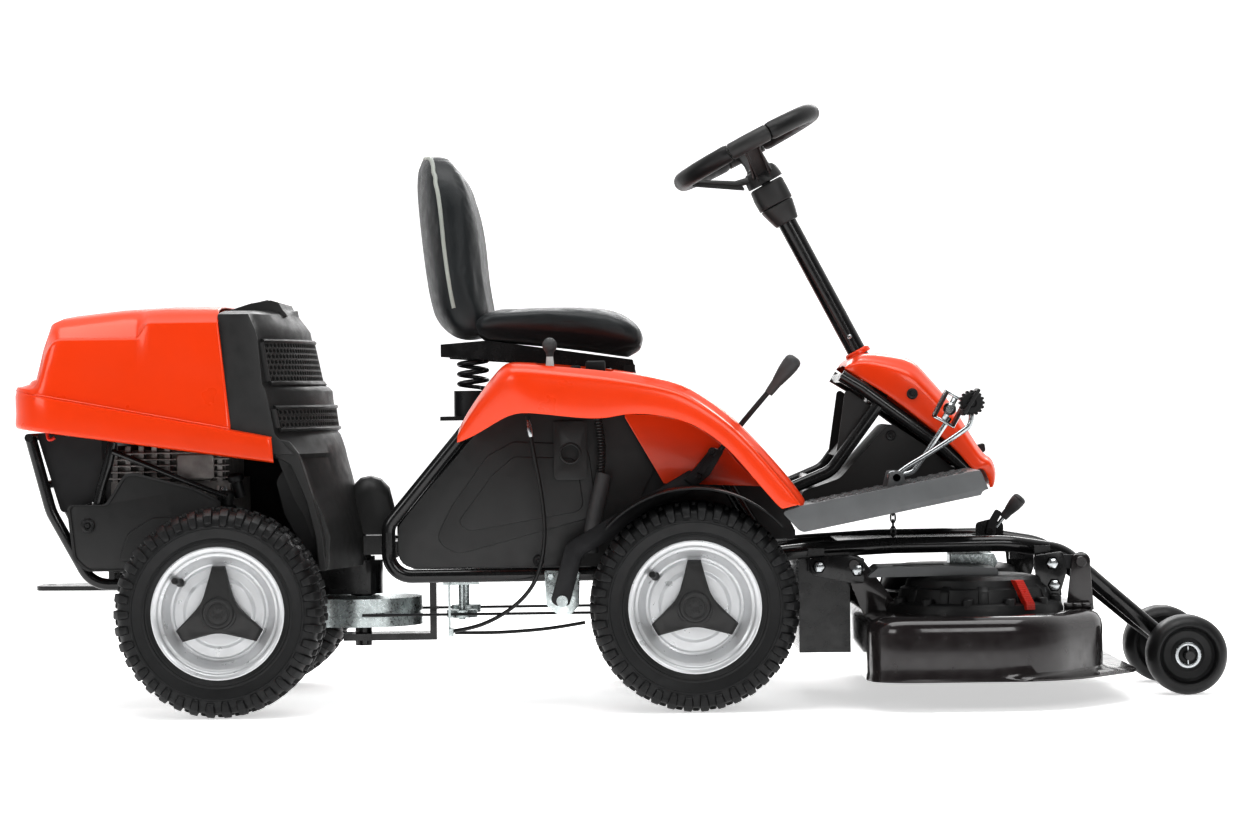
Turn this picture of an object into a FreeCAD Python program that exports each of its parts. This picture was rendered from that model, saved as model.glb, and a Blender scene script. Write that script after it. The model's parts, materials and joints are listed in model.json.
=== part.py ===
import FreeCAD, Part
import math
import os

# Riding lawn mower with an articulated rear section and a front-mounted cutting deck.
# Frame: +X forward, +Y to the driver's left, +Z up, origin on the floor under the middle of the machine.
# Lengths are millimetres, angles are degrees.

V = FreeCAD.Vector
RIGHT, LEFT = -1, 1
SIDES = {"right": RIGHT, "left": LEFT}

doc = FreeCAD.newDocument("riding_mower")

# ---------------------------------------------------------------- driving dimensions

DIMENSIONS = {
    "wheelbase": 810,
    "front_axle_x": 120,
    "tyre_radius": 179,
    "tyre_width": 155,
    "rim_radius": 115,
    "wheel_offset": 320,
    "stub_radius": 12.5,
    "running_gap": 0.05,
    "pivot_x": -472,
    "pivot_pin_radius": 15,
    "drum_radius": 107,
    "frame_offset": 200,
    "frame_tube_radius": 12,
    "rear_tube_radius": 10,
    "fender_outer": 400,
    "fender_inner": 225,
    "skin": 4,
    "sheet_metal": 3,
    "footplate_outer": 392,
    "column_tube_radius": 17,
    "steering_radius": 132,
    "steering_grip_radius": 15,
    "deck_half_width": 445,
    "deck_rim_height": 50,
    "deck_top_height": 160,
    "deck_tube_radius": 14,
    "blade_offset": 205,
    "blade_length": 396,
    "support_radius": 70,
    "support_offset": 140,
    "support_width": 78,
    "seat_width": 470,
}

sheet = doc.addObject("Spreadsheet::Sheet", "dims")
for row, (alias, value) in enumerate(DIMENSIONS.items(), start=1):
    sheet.set(f"A{row}", alias)
    sheet.set(f"B{row}", str(value))
    sheet.setAlias(f"B{row}", alias)
doc.recompute()


def dim(alias):
    """The value of one driving dimension."""
    return float(sheet.get(alias))


FRONT_AXLE = V(dim("front_axle_x"), 0, dim("tyre_radius"))
REAR_AXLE = V(dim("front_axle_x") - dim("wheelbase"), 0, dim("tyre_radius"))
PIVOT = V(dim("pivot_x"), 0, 0)

nodes = []


def keep(obj, label):
    """Name a finished sub-part and list it for export."""
    obj.Label = label
    nodes.append(obj)
    return obj


# ---------------------------------------------------------------- geometry helpers

def rounded_path(points, closed=False):
    """Straight runs joined by tangent arcs. A point is (x, y, z) or (x, y, z, corner radius)."""
    places = [V(*point[:3]) for point in points]
    count = len(points)
    corners = []
    for index, point in enumerate(points):
        place = places[index]
        radius = point[3] if len(point) > 3 else 0
        if radius == 0 or (not closed and index in (0, count - 1)):
            corners.append((place, None, place))
            continue
        back = (places[index - 1] - place).normalize()
        ahead = (places[(index + 1) % count] - place).normalize()
        half = back.getAngle(ahead) / 2
        reach = radius / math.tan(half)
        middle = place + (back + ahead).normalize() * (radius / math.sin(half) - radius)
        corners.append((place + back * reach, middle, place + ahead * reach))
    edges = []
    for index, (start, middle, end) in enumerate(corners):
        if middle is not None:
            edges.append(Part.Arc(start, middle, end))
        if index < count - 1 or closed:
            following = corners[(index + 1) % count][0]
            if (following - end).Length > 1e-6:
                edges.append(Part.LineSegment(end, following))
    return edges


def flat(points):
    """Closed outline in a sketch from (across, up) or (across, up, corner radius) points."""
    return rounded_path([(p[0], p[1], 0) + tuple(p[2:]) for p in points], closed=True)


def bind(obj, path, value):
    """Set a property from a number, or bind it to the sheet with an expression."""
    if isinstance(value, str):
        obj.setExpression(path, value)
    else:
        setattr(obj, path, value)


def put(obj, at, axis=(0, 0, 1), angle=0.0):
    """Place an object. A coordinate given as text is bound to the sheet."""
    numbers = [0 if isinstance(c, str) else c for c in at]
    obj.Placement = FreeCAD.Placement(V(*numbers), FreeCAD.Rotation(V(*axis), angle))
    for letter, value in zip("xyz", at):
        if isinstance(value, str):
            obj.setExpression(f"Placement.Base.{letter}", value)
    return obj


def sketch_in(body, role, geometry, offset=0.0):
    """A sketch on one of the body's own origin planes."""
    plane = next(f for f in body.Origin.OriginFeatures if f.Role == role)
    sketch = body.newObject("Sketcher::SketchObject", body.Name + "_sketch")
    sketch.AttachmentSupport = (plane, [""])
    sketch.MapMode = "FlatFace"
    sketch.AttachmentOffset = FreeCAD.Placement(V(0, 0, offset), FreeCAD.Rotation())
    sketch.addGeometry(geometry, False)
    return sketch


def add_pad(body, role, points, thickness, holes=(), offset=0.0):
    """Pad an outline evenly to both sides of an origin plane; holes are (across, up, radius)."""
    geometry = flat(points)
    geometry += [Part.Circle(V(across, up, 0), V(0, 0, 1), radius) for across, up, radius in holes]
    pad = body.newObject("PartDesign::Pad", body.Name + "_pad")
    pad.Profile = sketch_in(body, role, geometry, offset)
    pad.SideType = "Symmetric"
    bind(pad, "Length", thickness)
    return pad


def paired_plates(label, points, thickness, offset, holes=()):
    """The same upright plate on both sides of the machine, as one node of two solids."""
    plates = []
    for name, side in SIDES.items():
        body = doc.addObject("PartDesign::Body", f"{label}_{name}")
        add_pad(body, "XZ_Plane", points, thickness, holes)
        put(body, (0, f"{side} * ({offset})", 0))
        plates.append(body)
    pair = doc.addObject("Part::Compound", label)
    pair.Links = plates
    return keep(pair, label)


def turned(label, role, profile, at=(0, 0, 0)):
    """A turned piece: the profile (radius, along) revolved about the sketch's vertical axis."""
    body = doc.addObject("PartDesign::Body", label)
    sketch = sketch_in(body, role, flat(profile))
    turn = body.newObject("PartDesign::Revolution", body.Name + "_turn")
    turn.Profile = sketch
    turn.ReferenceAxis = (sketch, ["V_Axis"])
    turn.Angle = 360
    put(body, at)
    return keep(body, label)


def feature(label, shape):
    """A sub-part whose shape is worked out directly."""
    obj = doc.addObject("Part::Feature", label)
    obj.Shape = shape
    return keep(obj, label)


def joined(shapes):
    """One solid from solids that run into each other."""
    return shapes[0].multiFuse(shapes[1:])


def pipe(points, radius):
    """Round bar bent along a path."""
    edges = [edge.toShape() for edge in rounded_path(points)]
    path = Part.Wire(edges)
    start = V(*points[0][:3])
    direction = V(*points[1][:3]) - start
    profile = Part.Wire(Part.makeCircle(radius, start, direction))
    return path.makePipeShell([profile], True, False)


def rod(start, end, radius):
    """Straight round bar between two points."""
    start, end = V(*start), V(*end)
    return Part.makeCylinder(radius, (end - start).Length, start, end - start)


def ring(inner, outer, low, high, at=(0, 0)):
    """Upright ring."""
    base = V(at[0], at[1], low)
    return Part.makeCylinder(outer, high - low, base).cut(Part.makeCylinder(inner, high - low, base))


def block(low, high):
    """Box between two corners."""
    size = V(*high) - V(*low)
    return Part.makeBox(size.x, size.y, size.z, V(*low))


def side_slab(points, low_y, high_y):
    """Outline of (x, z[, radius]) points extruded across the machine."""
    edges = rounded_path([(p[0], low_y, p[1]) + tuple(p[2:]) for p in points], closed=True)
    face = Part.Face(Part.Wire([edge.toShape() for edge in edges]))
    return face.extrude(V(0, high_y - low_y, 0))


def plan_face(points, z, inset=0.0):
    """Face in plan from (x, y[, radius]) points, drawn in by an inset."""
    edges = rounded_path([(p[0], p[1], z) + tuple(p[2:]) for p in points], closed=True)
    face = Part.Face(Part.Wire([edge.toShape() for edge in edges]))
    return face.makeOffset2D(-inset) if inset else face


def plan_slab(points, low_z, high_z, inset=0.0):
    """Outline of (x, y[, radius]) points extruded upwards."""
    return plan_face(points, low_z, inset).extrude(V(0, 0, high_z - low_z))


def both_sides(half):
    """Plan outline from its right half (y negative), listed from rear to front."""
    other = [(p[0], -p[1]) + tuple(p[2:]) for p in reversed(half)]
    return list(half) + other


def strip(points, thickness):
    """Side outline of a skin: the line of (x, z) points and the same line drawn in below it."""
    below = []
    for index, (x, z) in enumerate(points):
        before = points[max(index - 1, 0)]
        after = points[min(index + 1, len(points) - 1)]
        run = math.hypot(after[0] - before[0], after[1] - before[1])
        below.append((x + (after[1] - before[1]) / run * thickness,
            z - (after[0] - before[0]) / run * thickness))
    return list(points) + below[::-1]


def mirrored(shape):
    """The same shape on the other side of the machine."""
    return shape.mirror(V(0, 0, 0), V(0, 1, 0))


# ---------------------------------------------------------------- road wheels

def tyre_profile():
    """Half section of a tyre, turned about the axle: (radius, across)."""
    outer, half = dim("tyre_radius"), dim("tyre_width") / 2
    bead = dim("rim_radius") - 11
    side = [(bead, 45), (bead + 3, 52.5), (bead + 12, 53), (bead + 24, half - 15, 12), (bead + 46,
        half - 1, 20)]
    tread = [(outer - 16, half, 4), (outer - 5, half - 9, 5), (outer, half - 24)]
    upper = side + tread
    lower = [(p[0], -p[1]) + tuple(p[2:]) for p in reversed(upper)]
    return upper + lower


def rim_profile():
    """Section of a pressed rim with its hub; across is positive outwards."""
    edge = dim("rim_radius")
    bore = dim("stub_radius") + dim("running_gap")
    face = [(bore, 38), (60, 38), (63, 34), (76, 34), (80, 28), (84, 30), (98, 50), (101, 60), (edge, 62)]
    barrel = [(edge, 56), (106, 54), (103, 46), (100, 30), (98, -46), (103, -56), (edge, -58), (edge, -64)]
    inside = [(101, -62), (94, -50), (94, 24), (86, 22), (78, 22), (74, 28), (30, 28), (30, -38),
        (bore, -38)]
    return face + barrel + inside


AXLE_X = {"front": "dims.front_axle_x", "rear": "dims.front_axle_x - dims.wheelbase"}
for end, axle_x in AXLE_X.items():
    for name, side in SIDES.items():
        wheel = f"{end}_{name}"
        centre = (axle_x, f"{side} * dims.wheel_offset", "dims.tyre_radius")
        turned(wheel + "_tyre", "XY_Plane", tyre_profile(), centre)
        rim = turned(wheel + "_rim", "XY_Plane", [(r, -across) for r, across in rim_profile()], centre)
        if side == LEFT:
            put(rim, centre, angle=180)

# ---------------------------------------------------------------- front section: frame and axle

RAIL_Y = dim("frame_offset")
TUBE = dim("frame_tube_radius")
PIN_RADIUS = dim("pivot_pin_radius")
RAIL_REAR_X, RAIL_LOW_Z, RAIL_TOP_Z = -411, 229, 545


SEAT_HINGE = V(14, 0, 586)
DECK_HINGE = V(245, 0, 255)


def front_rail(y):
    """Side loop of the front frame."""
    low = [(262, y, RAIL_LOW_Z), (RAIL_REAR_X, y, RAIL_LOW_Z, 40), (RAIL_REAR_X, y, 318, 35)]
    high = [(-222, y, RAIL_TOP_Z, 70), (85, y, RAIL_TOP_Z, 60), (262, y, 250)]
    return pipe(low + high, TUBE)


def front_frame_shape():
    """Two side loops, cross members, the fork that holds the pivot pin, and the pin."""
    cross_places = [(-290, RAIL_LOW_Z), (-20, RAIL_LOW_Z), (222, RAIL_LOW_Z), (60, RAIL_TOP_Z), (-215,
        RAIL_TOP_Z)]
    crosses = [rod((x, -RAIL_Y, z), (x, RAIL_Y, z), TUBE) for x, z in cross_places]
    rear_beam = block((-420, -RAIL_Y, 262), (-396, RAIL_Y, 290))
    upper_arm = block((PIVOT.x - 40, -34, 260), (-400, 34, 294))
    lower_arm = block((PIVOT.x - 34, -34, 106), (-338, 34, 118))
    upright = block((-350, -34, 106), (-338, 34, RAIL_LOW_Z))
    backbone = block((-350, -22, RAIL_LOW_Z - 10), (-285, 22, RAIL_LOW_Z + 10))
    pin = Part.makeCylinder(PIN_RADIUS, 197, V(PIVOT.x, 0, 96))
    spring_ledge = block((-318, -RAIL_Y + 4, 500), (-232, RAIL_Y - 4, 507))
    axle_saddle = block((90, -60, 204), (150, 60, RAIL_LOW_Z + 4))
    saddle_bar = block((-20, -22, RAIL_LOW_Z - 8), (222, 22, RAIL_LOW_Z + 8))
    deck_pin = rod((DECK_HINGE.x, -196, DECK_HINGE.z), (DECK_HINGE.x, 196, DECK_HINGE.z), 8)
    pieces = [front_rail(-RAIL_Y), front_rail(RAIL_Y), rear_beam, upper_arm, lower_arm, upright, backbone]
    return joined(pieces + [pin, spring_ledge, axle_saddle, saddle_bar, deck_pin] + crosses)


def axle_shape(centre, stub_end):
    """Axle beam with a turned stub for each wheel."""
    beam = block((centre.x - 25, -262, centre.z - 25), (centre.x + 25, 262, centre.z + 25))
    stub = rod((centre.x, -stub_end, centre.z), (centre.x, stub_end, centre.z), dim("stub_radius"))
    return beam.fuse(stub)


STUB_END = dim("wheel_offset") + 37
feature("front_frame", front_frame_shape().fuse(axle_shape(FRONT_AXLE, STUB_END)))

# ---------------------------------------------------------------- front section: panels and fenders

PANEL_OUTLINE = [
    (-396, 243, 45), (-393, 318, 30), (-212, 527, 60), (70, 527, 40), (60, 420), (-20, 262, 30), (-30, 243),
]
paired_plates("side_panels", PANEL_OUTLINE, "dims.skin", "dims.frame_offset + 4")

FENDER_TOP = [(-292, 484), (-203, 590), (-145, 593), (-20, 584), (30, 575), (95, 560), (153, 525),
              (191, 496), (247, 437), (278, 400), (310, 356)]
FENDER_EDGE = [(268, 342), (246, 366), (214, 405), (176, 449), (139, 478), (105, 495), (58, 505),
               (1, 509), (-37, 499), (-152, 509), (-284, 459)]
LEVER_Y = -228
LEVER_SLOT = block((15, LEVER_Y - 40, 450), (222, LEVER_Y - 9, 640))
CONSOLE_POCKET = block((-146, -372, 570), (-12, -278, 640))


def fender_shape(side):
    """Wheel fender: a curved top skin with an outer side face."""
    outer, inner, skin = dim("fender_outer"), dim("fender_inner"), dim("skin")
    top = side_slab(strip(FENDER_TOP, skin), -outer, -inner)
    face = side_slab(FENDER_TOP + FENDER_EDGE, -outer, -outer + skin)
    fender = top.fuse(face)
    if side == RIGHT:
        return fender.cut(LEVER_SLOT).cut(CONSOLE_POCKET)
    return mirrored(fender)


for name, side in SIDES.items():
    feature(f"fender_{name}", fender_shape(side))

# The inner arch follows the tyre 17 mm outside its tread.
ARCH_RADIUS = dim("tyre_radius") + 21


def mudguard_shape():
    """Black inner arch between the front wheel and the footwell, behind the tyre's upper rear quarter."""
    band_low, band_high = (-396, -240)
    centre = V(FRONT_AXLE.x, band_low, FRONT_AXLE.z)
    width = band_high - band_low
    outer = Part.makeCylinder(ARCH_RADIUS + 3, width, centre, V(0, 1, 0))
    inner = Part.makeCylinder(ARCH_RADIUS, width, centre, V(0, 1, 0))
    window = block((FRONT_AXLE.x - 150, band_low, FRONT_AXLE.z + 120), (FRONT_AXLE.x + 150, band_high, 400))
    return outer.cut(inner).common(window)


feature("mudguards", Part.makeCompound([mudguard_shape(), mirrored(mudguard_shape())]))

seat_plate = doc.addObject("Part::Box", "seat_plate")
bind(seat_plate, "Length", 290)
bind(seat_plate, "Width", "2 * dims.fender_inner - 4")
bind(seat_plate, "Height", 8)
put(seat_plate, (-225, "2 - dims.fender_inner", 558))
hinge_ears = [block((4, y - 3, 565), (24, y + 3, 594)) for y in (-158, 158)]
hinge_pin = rod((SEAT_HINGE.x, -161, SEAT_HINGE.z), (SEAT_HINGE.x, 161, SEAT_HINGE.z), 5)
seat_hinge = doc.addObject("Part::Feature", "seat_hinge")
seat_hinge.Shape = joined(hinge_ears + [hinge_pin])
seat_base = doc.addObject("Part::MultiFuse", "seat_base")
seat_base.Shapes = [seat_plate, seat_hinge]
keep(seat_base, "seat_base")

CONSOLE_FLOOR = 562
feature("control_console", block((-144, -370, CONSOLE_FLOOR), (-14, -280, 571)).cut(
    rod((-78, -325, 550), (-78, -325, 580), 4.4)))

# ---------------------------------------------------------------- front section: springs and small plates

SPRING_X, SPRING_Y = -268, 105
SPRING_LOW, SPRING_HIGH = 552, 611


def coil(radius, wire, low, high, turns, at):
    """Coil spring of round wire standing on the vertical axis."""
    helix = Part.makeHelix((high - low - 2 * wire) / turns, high - low - 2 * wire, radius)
    profile = Part.Wire(Part.makeCircle(wire, V(radius, 0, 0), V(0, 1, 0)))
    spring = Part.Wire(helix.Edges).makePipeShell([profile], True, True)
    spring.translate(V(at[0], at[1], low + wire))
    return spring


spring_stacks = []
for side in SIDES.values():
    spring_place = (SPRING_X, side * SPRING_Y)
    spring_stacks.append(coil(21, 3.5, SPRING_LOW, SPRING_HIGH, 3, spring_place))
    spring_stacks.append(ring(12, 30, 507, SPRING_LOW, spring_place))
feature("seat_springs", Part.makeCompound(spring_stacks))

LIFT_PIVOT = V(-108, LEVER_Y, 184)
bracket_plate = doc.addObject("PartDesign::Body", "bracket_plate")
add_pad(bracket_plate, "XZ_Plane", [(-118, 395, 6), (-118, 492, 6), (-64, 492, 6), (-64, 395, 6)], 5,
        holes=[(-91, 440, 15)])
put(bracket_plate, (0, -208.6, 0))
lever_bracket = block((-138, -218, 160), (-78, -213, 238)).fuse(block((-138, -217, 226), (-78, -190, 232)))
lever_pin = rod((LIFT_PIVOT.x, -240, LIFT_PIVOT.z), (LIFT_PIVOT.x, -214, LIFT_PIVOT.z), 7)
lever_head = rod((LIFT_PIVOT.x, -243, LIFT_PIVOT.z), (LIFT_PIVOT.x, -234, LIFT_PIVOT.z), 12)
lever_mount = doc.addObject("Part::Feature", "lever_mount")
lever_mount.Shape = joined([lever_bracket, lever_pin, lever_head])
brackets = doc.addObject("Part::Compound", "lever_brackets")
brackets.Links = [bracket_plate, lever_mount]
keep(brackets, "lever_brackets")

# ---------------------------------------------------------------- front section: column, cowl and footwell

WHEEL_CENTRE = V(231, 0, 985)
COLUMN_FOOT = V(424, 0, 616)
COLUMN_AXIS = (WHEEL_CENTRE - COLUMN_FOOT).normalize()


def on_column(distance):
    """Point on the steering axis, measured up from the foot of the visible column."""
    return COLUMN_FOOT + COLUMN_AXIS * distance


def column_ring(inner, outer, low, high):
    """Ring on the steering axis."""
    outside = Part.makeCylinder(outer, high - low, on_column(low), COLUMN_AXIS)
    return outside.cut(Part.makeCylinder(inner, high - low, on_column(low), COLUMN_AXIS))


SHAFT_RADIUS = 9
column = (column_ring(SHAFT_RADIUS + 0.06, dim("column_tube_radius"), -90, 268))
shroud_low, shroud_high = 268, 352
shroud = Part.makeCone(22, 36, shroud_high - shroud_low, on_column(shroud_low), COLUMN_AXIS)
shroud = shroud.cut(Part.makeCylinder(SHAFT_RADIUS + 3, 100, on_column(shroud_low), COLUMN_AXIS))
feature("steering_column", column.fuse(shroud))

COWL_OUTLINE = [(393, 585), (407, 599), (438, 613), (517, 603, 10), (581, 528), (619, 465), (644, 426),
                (656, 423), (667, 391), (659, 368), (648, 367), (634, 409), (615, 401), (561, 459),
                (497, 512), (438, 554)]
COWL_CAVITY = [(385, 570), (415, 594), (440, 607), (512, 597), (576, 524), (614, 462), (640, 419),
               (652, 416), (661, 391), (657, 360), (640, 350), (600, 380), (500, 480), (400, 540)]
COWL_PLAN = both_sides([(380, -118, 10), (450, -150, 60), (620, -150, 60), (670, -110, 30)])


def cowl_shape():
    """Orange shell over the foot of the column, open underneath."""
    wall = dim("skin")
    outer = side_slab(COWL_OUTLINE, -152, 152).common(plan_slab(COWL_PLAN, 300, 700))
    inner = side_slab(COWL_CAVITY, -160, 160).common(plan_slab(COWL_PLAN, 300, 700, wall))
    column_hole = Part.makeCylinder(dim("column_tube_radius") + 1, 400, on_column(-150), COLUMN_AXIS)
    return outer.cut(inner).cut(column_hole)


feature("cowl", cowl_shape())

LOOP_Y, LOOP_TUBE = 136, 11
upper_tube = [(388, LOOP_Y, 570), (424, LOOP_Y, 548, 60), (560, LOOP_Y, 446, 120), (616, LOOP_Y, 392, 40),
              (630, LOOP_Y, 366)]
lower_tube = [(296, LOOP_Y, 372), (368, LOOP_Y, 402, 50), (452, LOOP_Y, 516)]
loop = pipe(upper_tube, LOOP_TUBE).fuse(pipe(lower_tube, LOOP_TUBE))
loop_crosses = [rod((x, -LOOP_Y, z), (x, LOOP_Y, z), 8) for x, z in ((394, 566), (606, 402), (330, 386))]
foot_bracket = block((440, -30, 505), (476, 30, 548)).cut(
    Part.makeCylinder(dim("column_tube_radius"), 400, on_column(-150), COLUMN_AXIS))
bracket_bar = rod((448, -LOOP_Y, 524), (448, LOOP_Y, 524), 7).cut(
    Part.makeCylinder(dim("column_tube_radius"), 400, on_column(-150), COLUMN_AXIS))
feature("cowl_tube", joined([loop, mirrored(loop)] + loop_crosses).multiFuse([foot_bracket, bracket_bar]))

TUNNEL_OUTLINE = [(312, 330), (318, 366, 8), (384, 388, 30), (474, 486, 14), (540, 442), (598, 392),
    (604, 366)]
TUNNEL_CAVITY = [(306, 320), (322, 361, 8), (388, 384, 30), (474, 480, 14), (538, 437), (594, 388),
    (602, 356)]
GUSSET_OUTLINE = [(378, 428), (396, 548, 6), (446, 512)]
column_room = Part.makeCylinder(dim("column_tube_radius") + 6, 400, on_column(-150), COLUMN_AXIS)
tunnel = side_slab(TUNNEL_OUTLINE, -122, 122).cut(side_slab(TUNNEL_CAVITY, -118, 118))
gussets = [side_slab(GUSSET_OUTLINE, *sorted((side * 118, side * 122))) for side in SIDES.values()]
gusset_floor = side_slab([(378, 428), (382, 426), (450, 510), (446, 513)], -122, 122)
feature("leg_tunnel", joined([tunnel, gusset_floor] + gussets).cut(column_room).cut(
    rod((448, -LOOP_Y, 524), (448, LOOP_Y, 524), 8)))

FOOT_TOP = [(302, 346), (606, 405)]


PEDAL_PIVOT = V(468, 0, 393)
FORWARD_Y, REVERSE_Y = -322, -248


def pedal_bracket():
    """Two ears through the right foot board with the pedals' common pin."""
    ear = [(450, 368), (486, 374), (478, 406, 6), (458, 406, 6)]
    ears = [side_slab(ear, y - 2, y + 2) for y in (FORWARD_Y - 14, REVERSE_Y + 14)]
    pin = rod((PEDAL_PIVOT.x, FORWARD_Y - 16, PEDAL_PIVOT.z), (PEDAL_PIVOT.x, REVERSE_Y + 16,
        PEDAL_PIVOT.z), 5)
    return ears + [pin]


def footplate_shape(side):
    """Sloping foot board with a turned-down edge; the right one carries the pedals' pin."""
    outer, inner, metal = dim("footplate_outer"), 150, dim("sheet_metal")
    floor = side_slab(strip(FOOT_TOP, metal), -outer, -inner)
    skirt = [(268, 339), (311, 352), (606, 406), (620, 371), (607, 364), (305, 304), (296, 308)]
    edge = side_slab(skirt, -outer, -outer + metal)
    inner_edge = side_slab(skirt, -inner - metal, -inner)
    front_edge = side_slab([(606, 406), (620, 371), (617, 370), (603, 405)], -outer, -inner)
    board = [floor, edge, inner_edge, front_edge]
    return joined(board + pedal_bracket()) if side == RIGHT else mirrored(joined(board))


for name, side in SIDES.items():
    feature(f"footplate_{name}", footplate_shape(side))

# ---------------------------------------------------------------- pedals


def pedal_shape(y, bar, pad_low, pad_high, pad_thickness):
    """Pedal: a turned boss, a bent round bar and a tread pad."""
    boss = rod((PEDAL_PIVOT.x, y - 10, PEDAL_PIVOT.z), (PEDAL_PIVOT.x, y + 10, PEDAL_PIVOT.z), 10)
    bar = pipe([(x, y, z, radius) for x, z, radius in bar], 4.5)
    low, high = V(pad_low[0], y - 32, pad_low[1]), V(pad_high[0], y - 32, pad_high[1])
    along = high - low
    normal = V(-along.z, 0, along.x).normalize() * pad_thickness
    face = Part.Face(Part.makePolygon([low, high, high + normal, low + normal, low]))
    pad = face.extrude(V(0, 64, 0))
    bore = rod((PEDAL_PIVOT.x, y - 11, PEDAL_PIVOT.z), (PEDAL_PIVOT.x, y + 11, PEDAL_PIVOT.z), 5.05)
    return joined([boss, bar, pad]).cut(bore)


FORWARD_BAR = [(470, 396, 0), (474, 404, 5), (582, 470, 10), (597, 484, 7), (598, 508, 0)]
REVERSE_BAR = [(470, 396, 0), (500, 398, 12), (566, 496, 0)]
feature("forward_pedal", pedal_shape(FORWARD_Y, FORWARD_BAR, (588, 494), (618, 541), 11))
feature("reverse_pedal", pedal_shape(REVERSE_Y, REVERSE_BAR, (556, 486), (580, 532), 12))

# ---------------------------------------------------------------- steering wheel

def steering_wheel_shape():
    """Deep-dished wheel: rim, three spokes and hub."""
    rim = Part.makeTorus(dim("steering_radius"), dim("steering_grip_radius"), WHEEL_CENTRE, COLUMN_AXIS)
    hub_low = 354
    hub = Part.makeCylinder(32, 34, on_column(hub_low), COLUMN_AXIS)
    across = V(0, 1, 0)
    forward = across.cross(COLUMN_AXIS).normalize()
    spokes = []
    for angle in (90, 210, 330):
        turn = math.radians(angle)
        reach = across * math.cos(turn) + forward * math.sin(turn)
        start = on_column(hub_low + 18) + reach * 20
        knee = WHEEL_CENTRE + reach * (dim("steering_radius") - 34) - COLUMN_AXIS * 16
        tip = WHEEL_CENTRE + reach * dim("steering_radius")
        spokes.append(rod(start, knee, 10))
        spokes.append(rod(knee, tip, 10))
        spokes.append(Part.makeSphere(10, knee))
    shaft = Part.makeCylinder(SHAFT_RADIUS, 452, on_column(-97), COLUMN_AXIS)
    return joined([rim, hub, shaft] + spokes)


feature("steering_wheel", steering_wheel_shape())

# ---------------------------------------------------------------- lift lever

GRIP_Y = LEVER_Y - 34
lever_blade = side_slab([(-126, 180, 8), (-108, 262, 14), (118, 408), (136, 382), (-72, 250, 14),
                         (-88, 178, 8)], LEVER_Y - 3, LEVER_Y + 3)
lever_blade = lever_blade.cut(rod((-108, LEVER_Y - 5, 184), (-108, LEVER_Y + 5, 184), 7.05))
lever_rod = rod((112, LEVER_Y, 385), (262, GRIP_Y, 546), 5)
lever_clevis = block((108, LEVER_Y - 9, 380), (150, LEVER_Y + 9, 412)).cut(
    block((90, LEVER_Y - 3, 370), (134, LEVER_Y + 3, 420)))
feature("lift_lever", joined([lever_blade, lever_rod, lever_clevis]))
grip_start, grip_end = V(254, GRIP_Y + 2, 538), V(306, GRIP_Y - 9, 602)
feature("lift_grip", Part.makeCone(10, 15, (grip_end - grip_start).Length, grip_start,
                                   grip_end - grip_start).cut(rod((112, LEVER_Y, 385),
    (262, GRIP_Y, 546), 5)))

# ---------------------------------------------------------------- hand controls

CONTROL_Y = -325
throttle = joined([rod((-122, CONTROL_Y - 6, 586), (-122, CONTROL_Y + 6, 586), 8),
                   rod((-122, CONTROL_Y, 588), (-122, CONTROL_Y, 622), 4),
                   Part.makeSphere(12.5, V(-122, CONTROL_Y, 628))])
feature("throttle_lever", throttle)
feature("choke_knob", rod((-78, CONTROL_Y, 556), (-78, CONTROL_Y, 586), 4).fuse(
    rod((-78, CONTROL_Y, 582), (-78, CONTROL_Y, 592), 9)))
feature("blade_switch", rod((-44, CONTROL_Y, 571.4), (-44, CONTROL_Y, 580), 17).fuse(
    block((-58, CONTROL_Y - 7, 579), (-30, CONTROL_Y + 7, 598))))

# ---------------------------------------------------------------- seat

SEAT_HALF = dim("seat_width") / 2
CUSHION_OUTLINE = [(-232, 648, 20), (-232, 694, 12), (-60, 698, 60), (20, 684, 24), (46, 650, 20),
                   (36, 616, 14), (-20, 612)]
BACK_OUTLINE = [(-300, 645, 20), (-240, 645, 10), (-252, 740, 60), (-262, 860, 60), (-300, 975, 24),
                (-352, 978, 20), (-362, 920, 60), (-345, 760, 80)]
SEAT_PLAN = both_sides([(-420, -SEAT_HALF), (-180, -SEAT_HALF), (46, -SEAT_HALF + 20, 70)])
feature("seat_cushion", side_slab(CUSHION_OUTLINE, -SEAT_HALF, SEAT_HALF).common(plan_slab(SEAT_PLAN, 500,
    800)))
back = side_slab(BACK_OUTLINE, -SEAT_HALF + 25, SEAT_HALF - 25)
feature("seat_back", back)
PAN_SLOPE = [(-318, 612), (-318, 634), (-236, 640), (20, 603), (26, 578), (8, 574), (-20, 590)]
pan_rails = [side_slab(PAN_SLOPE, y - 2, y + 2) for y in (-150, 150)]
pan_sheet = side_slab([(-318, 630), (-318, 634), (-236, 640), (20, 603), (20, 599), (-236, 636)], -150, 150)
hinge_tube = rod((SEAT_HINGE.x, -148, SEAT_HINGE.z), (SEAT_HINGE.x, 148, SEAT_HINGE.z), 9)
hinge_bore = rod((SEAT_HINGE.x, -160, SEAT_HINGE.z), (SEAT_HINGE.x, 160, SEAT_HINGE.z), 5.05)
feature("seat_pan", joined(pan_rails + [pan_sheet, hinge_tube]).cut(hinge_bore))

# ---------------------------------------------------------------- articulation and rear frame

feature("pivot_cover", side_slab([(-487, 294.5), (-492, 372, 24), (-458, 402, 22), (-420, 380, 20),
                                  (-412, 294.5)], -36, 36))
bush = doc.addObject("Part::Feature", "pivot_bush")
bush.Shape = ring(PIN_RADIUS + 0.05, 22, 187, 257, (PIVOT.x, 0))

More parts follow.
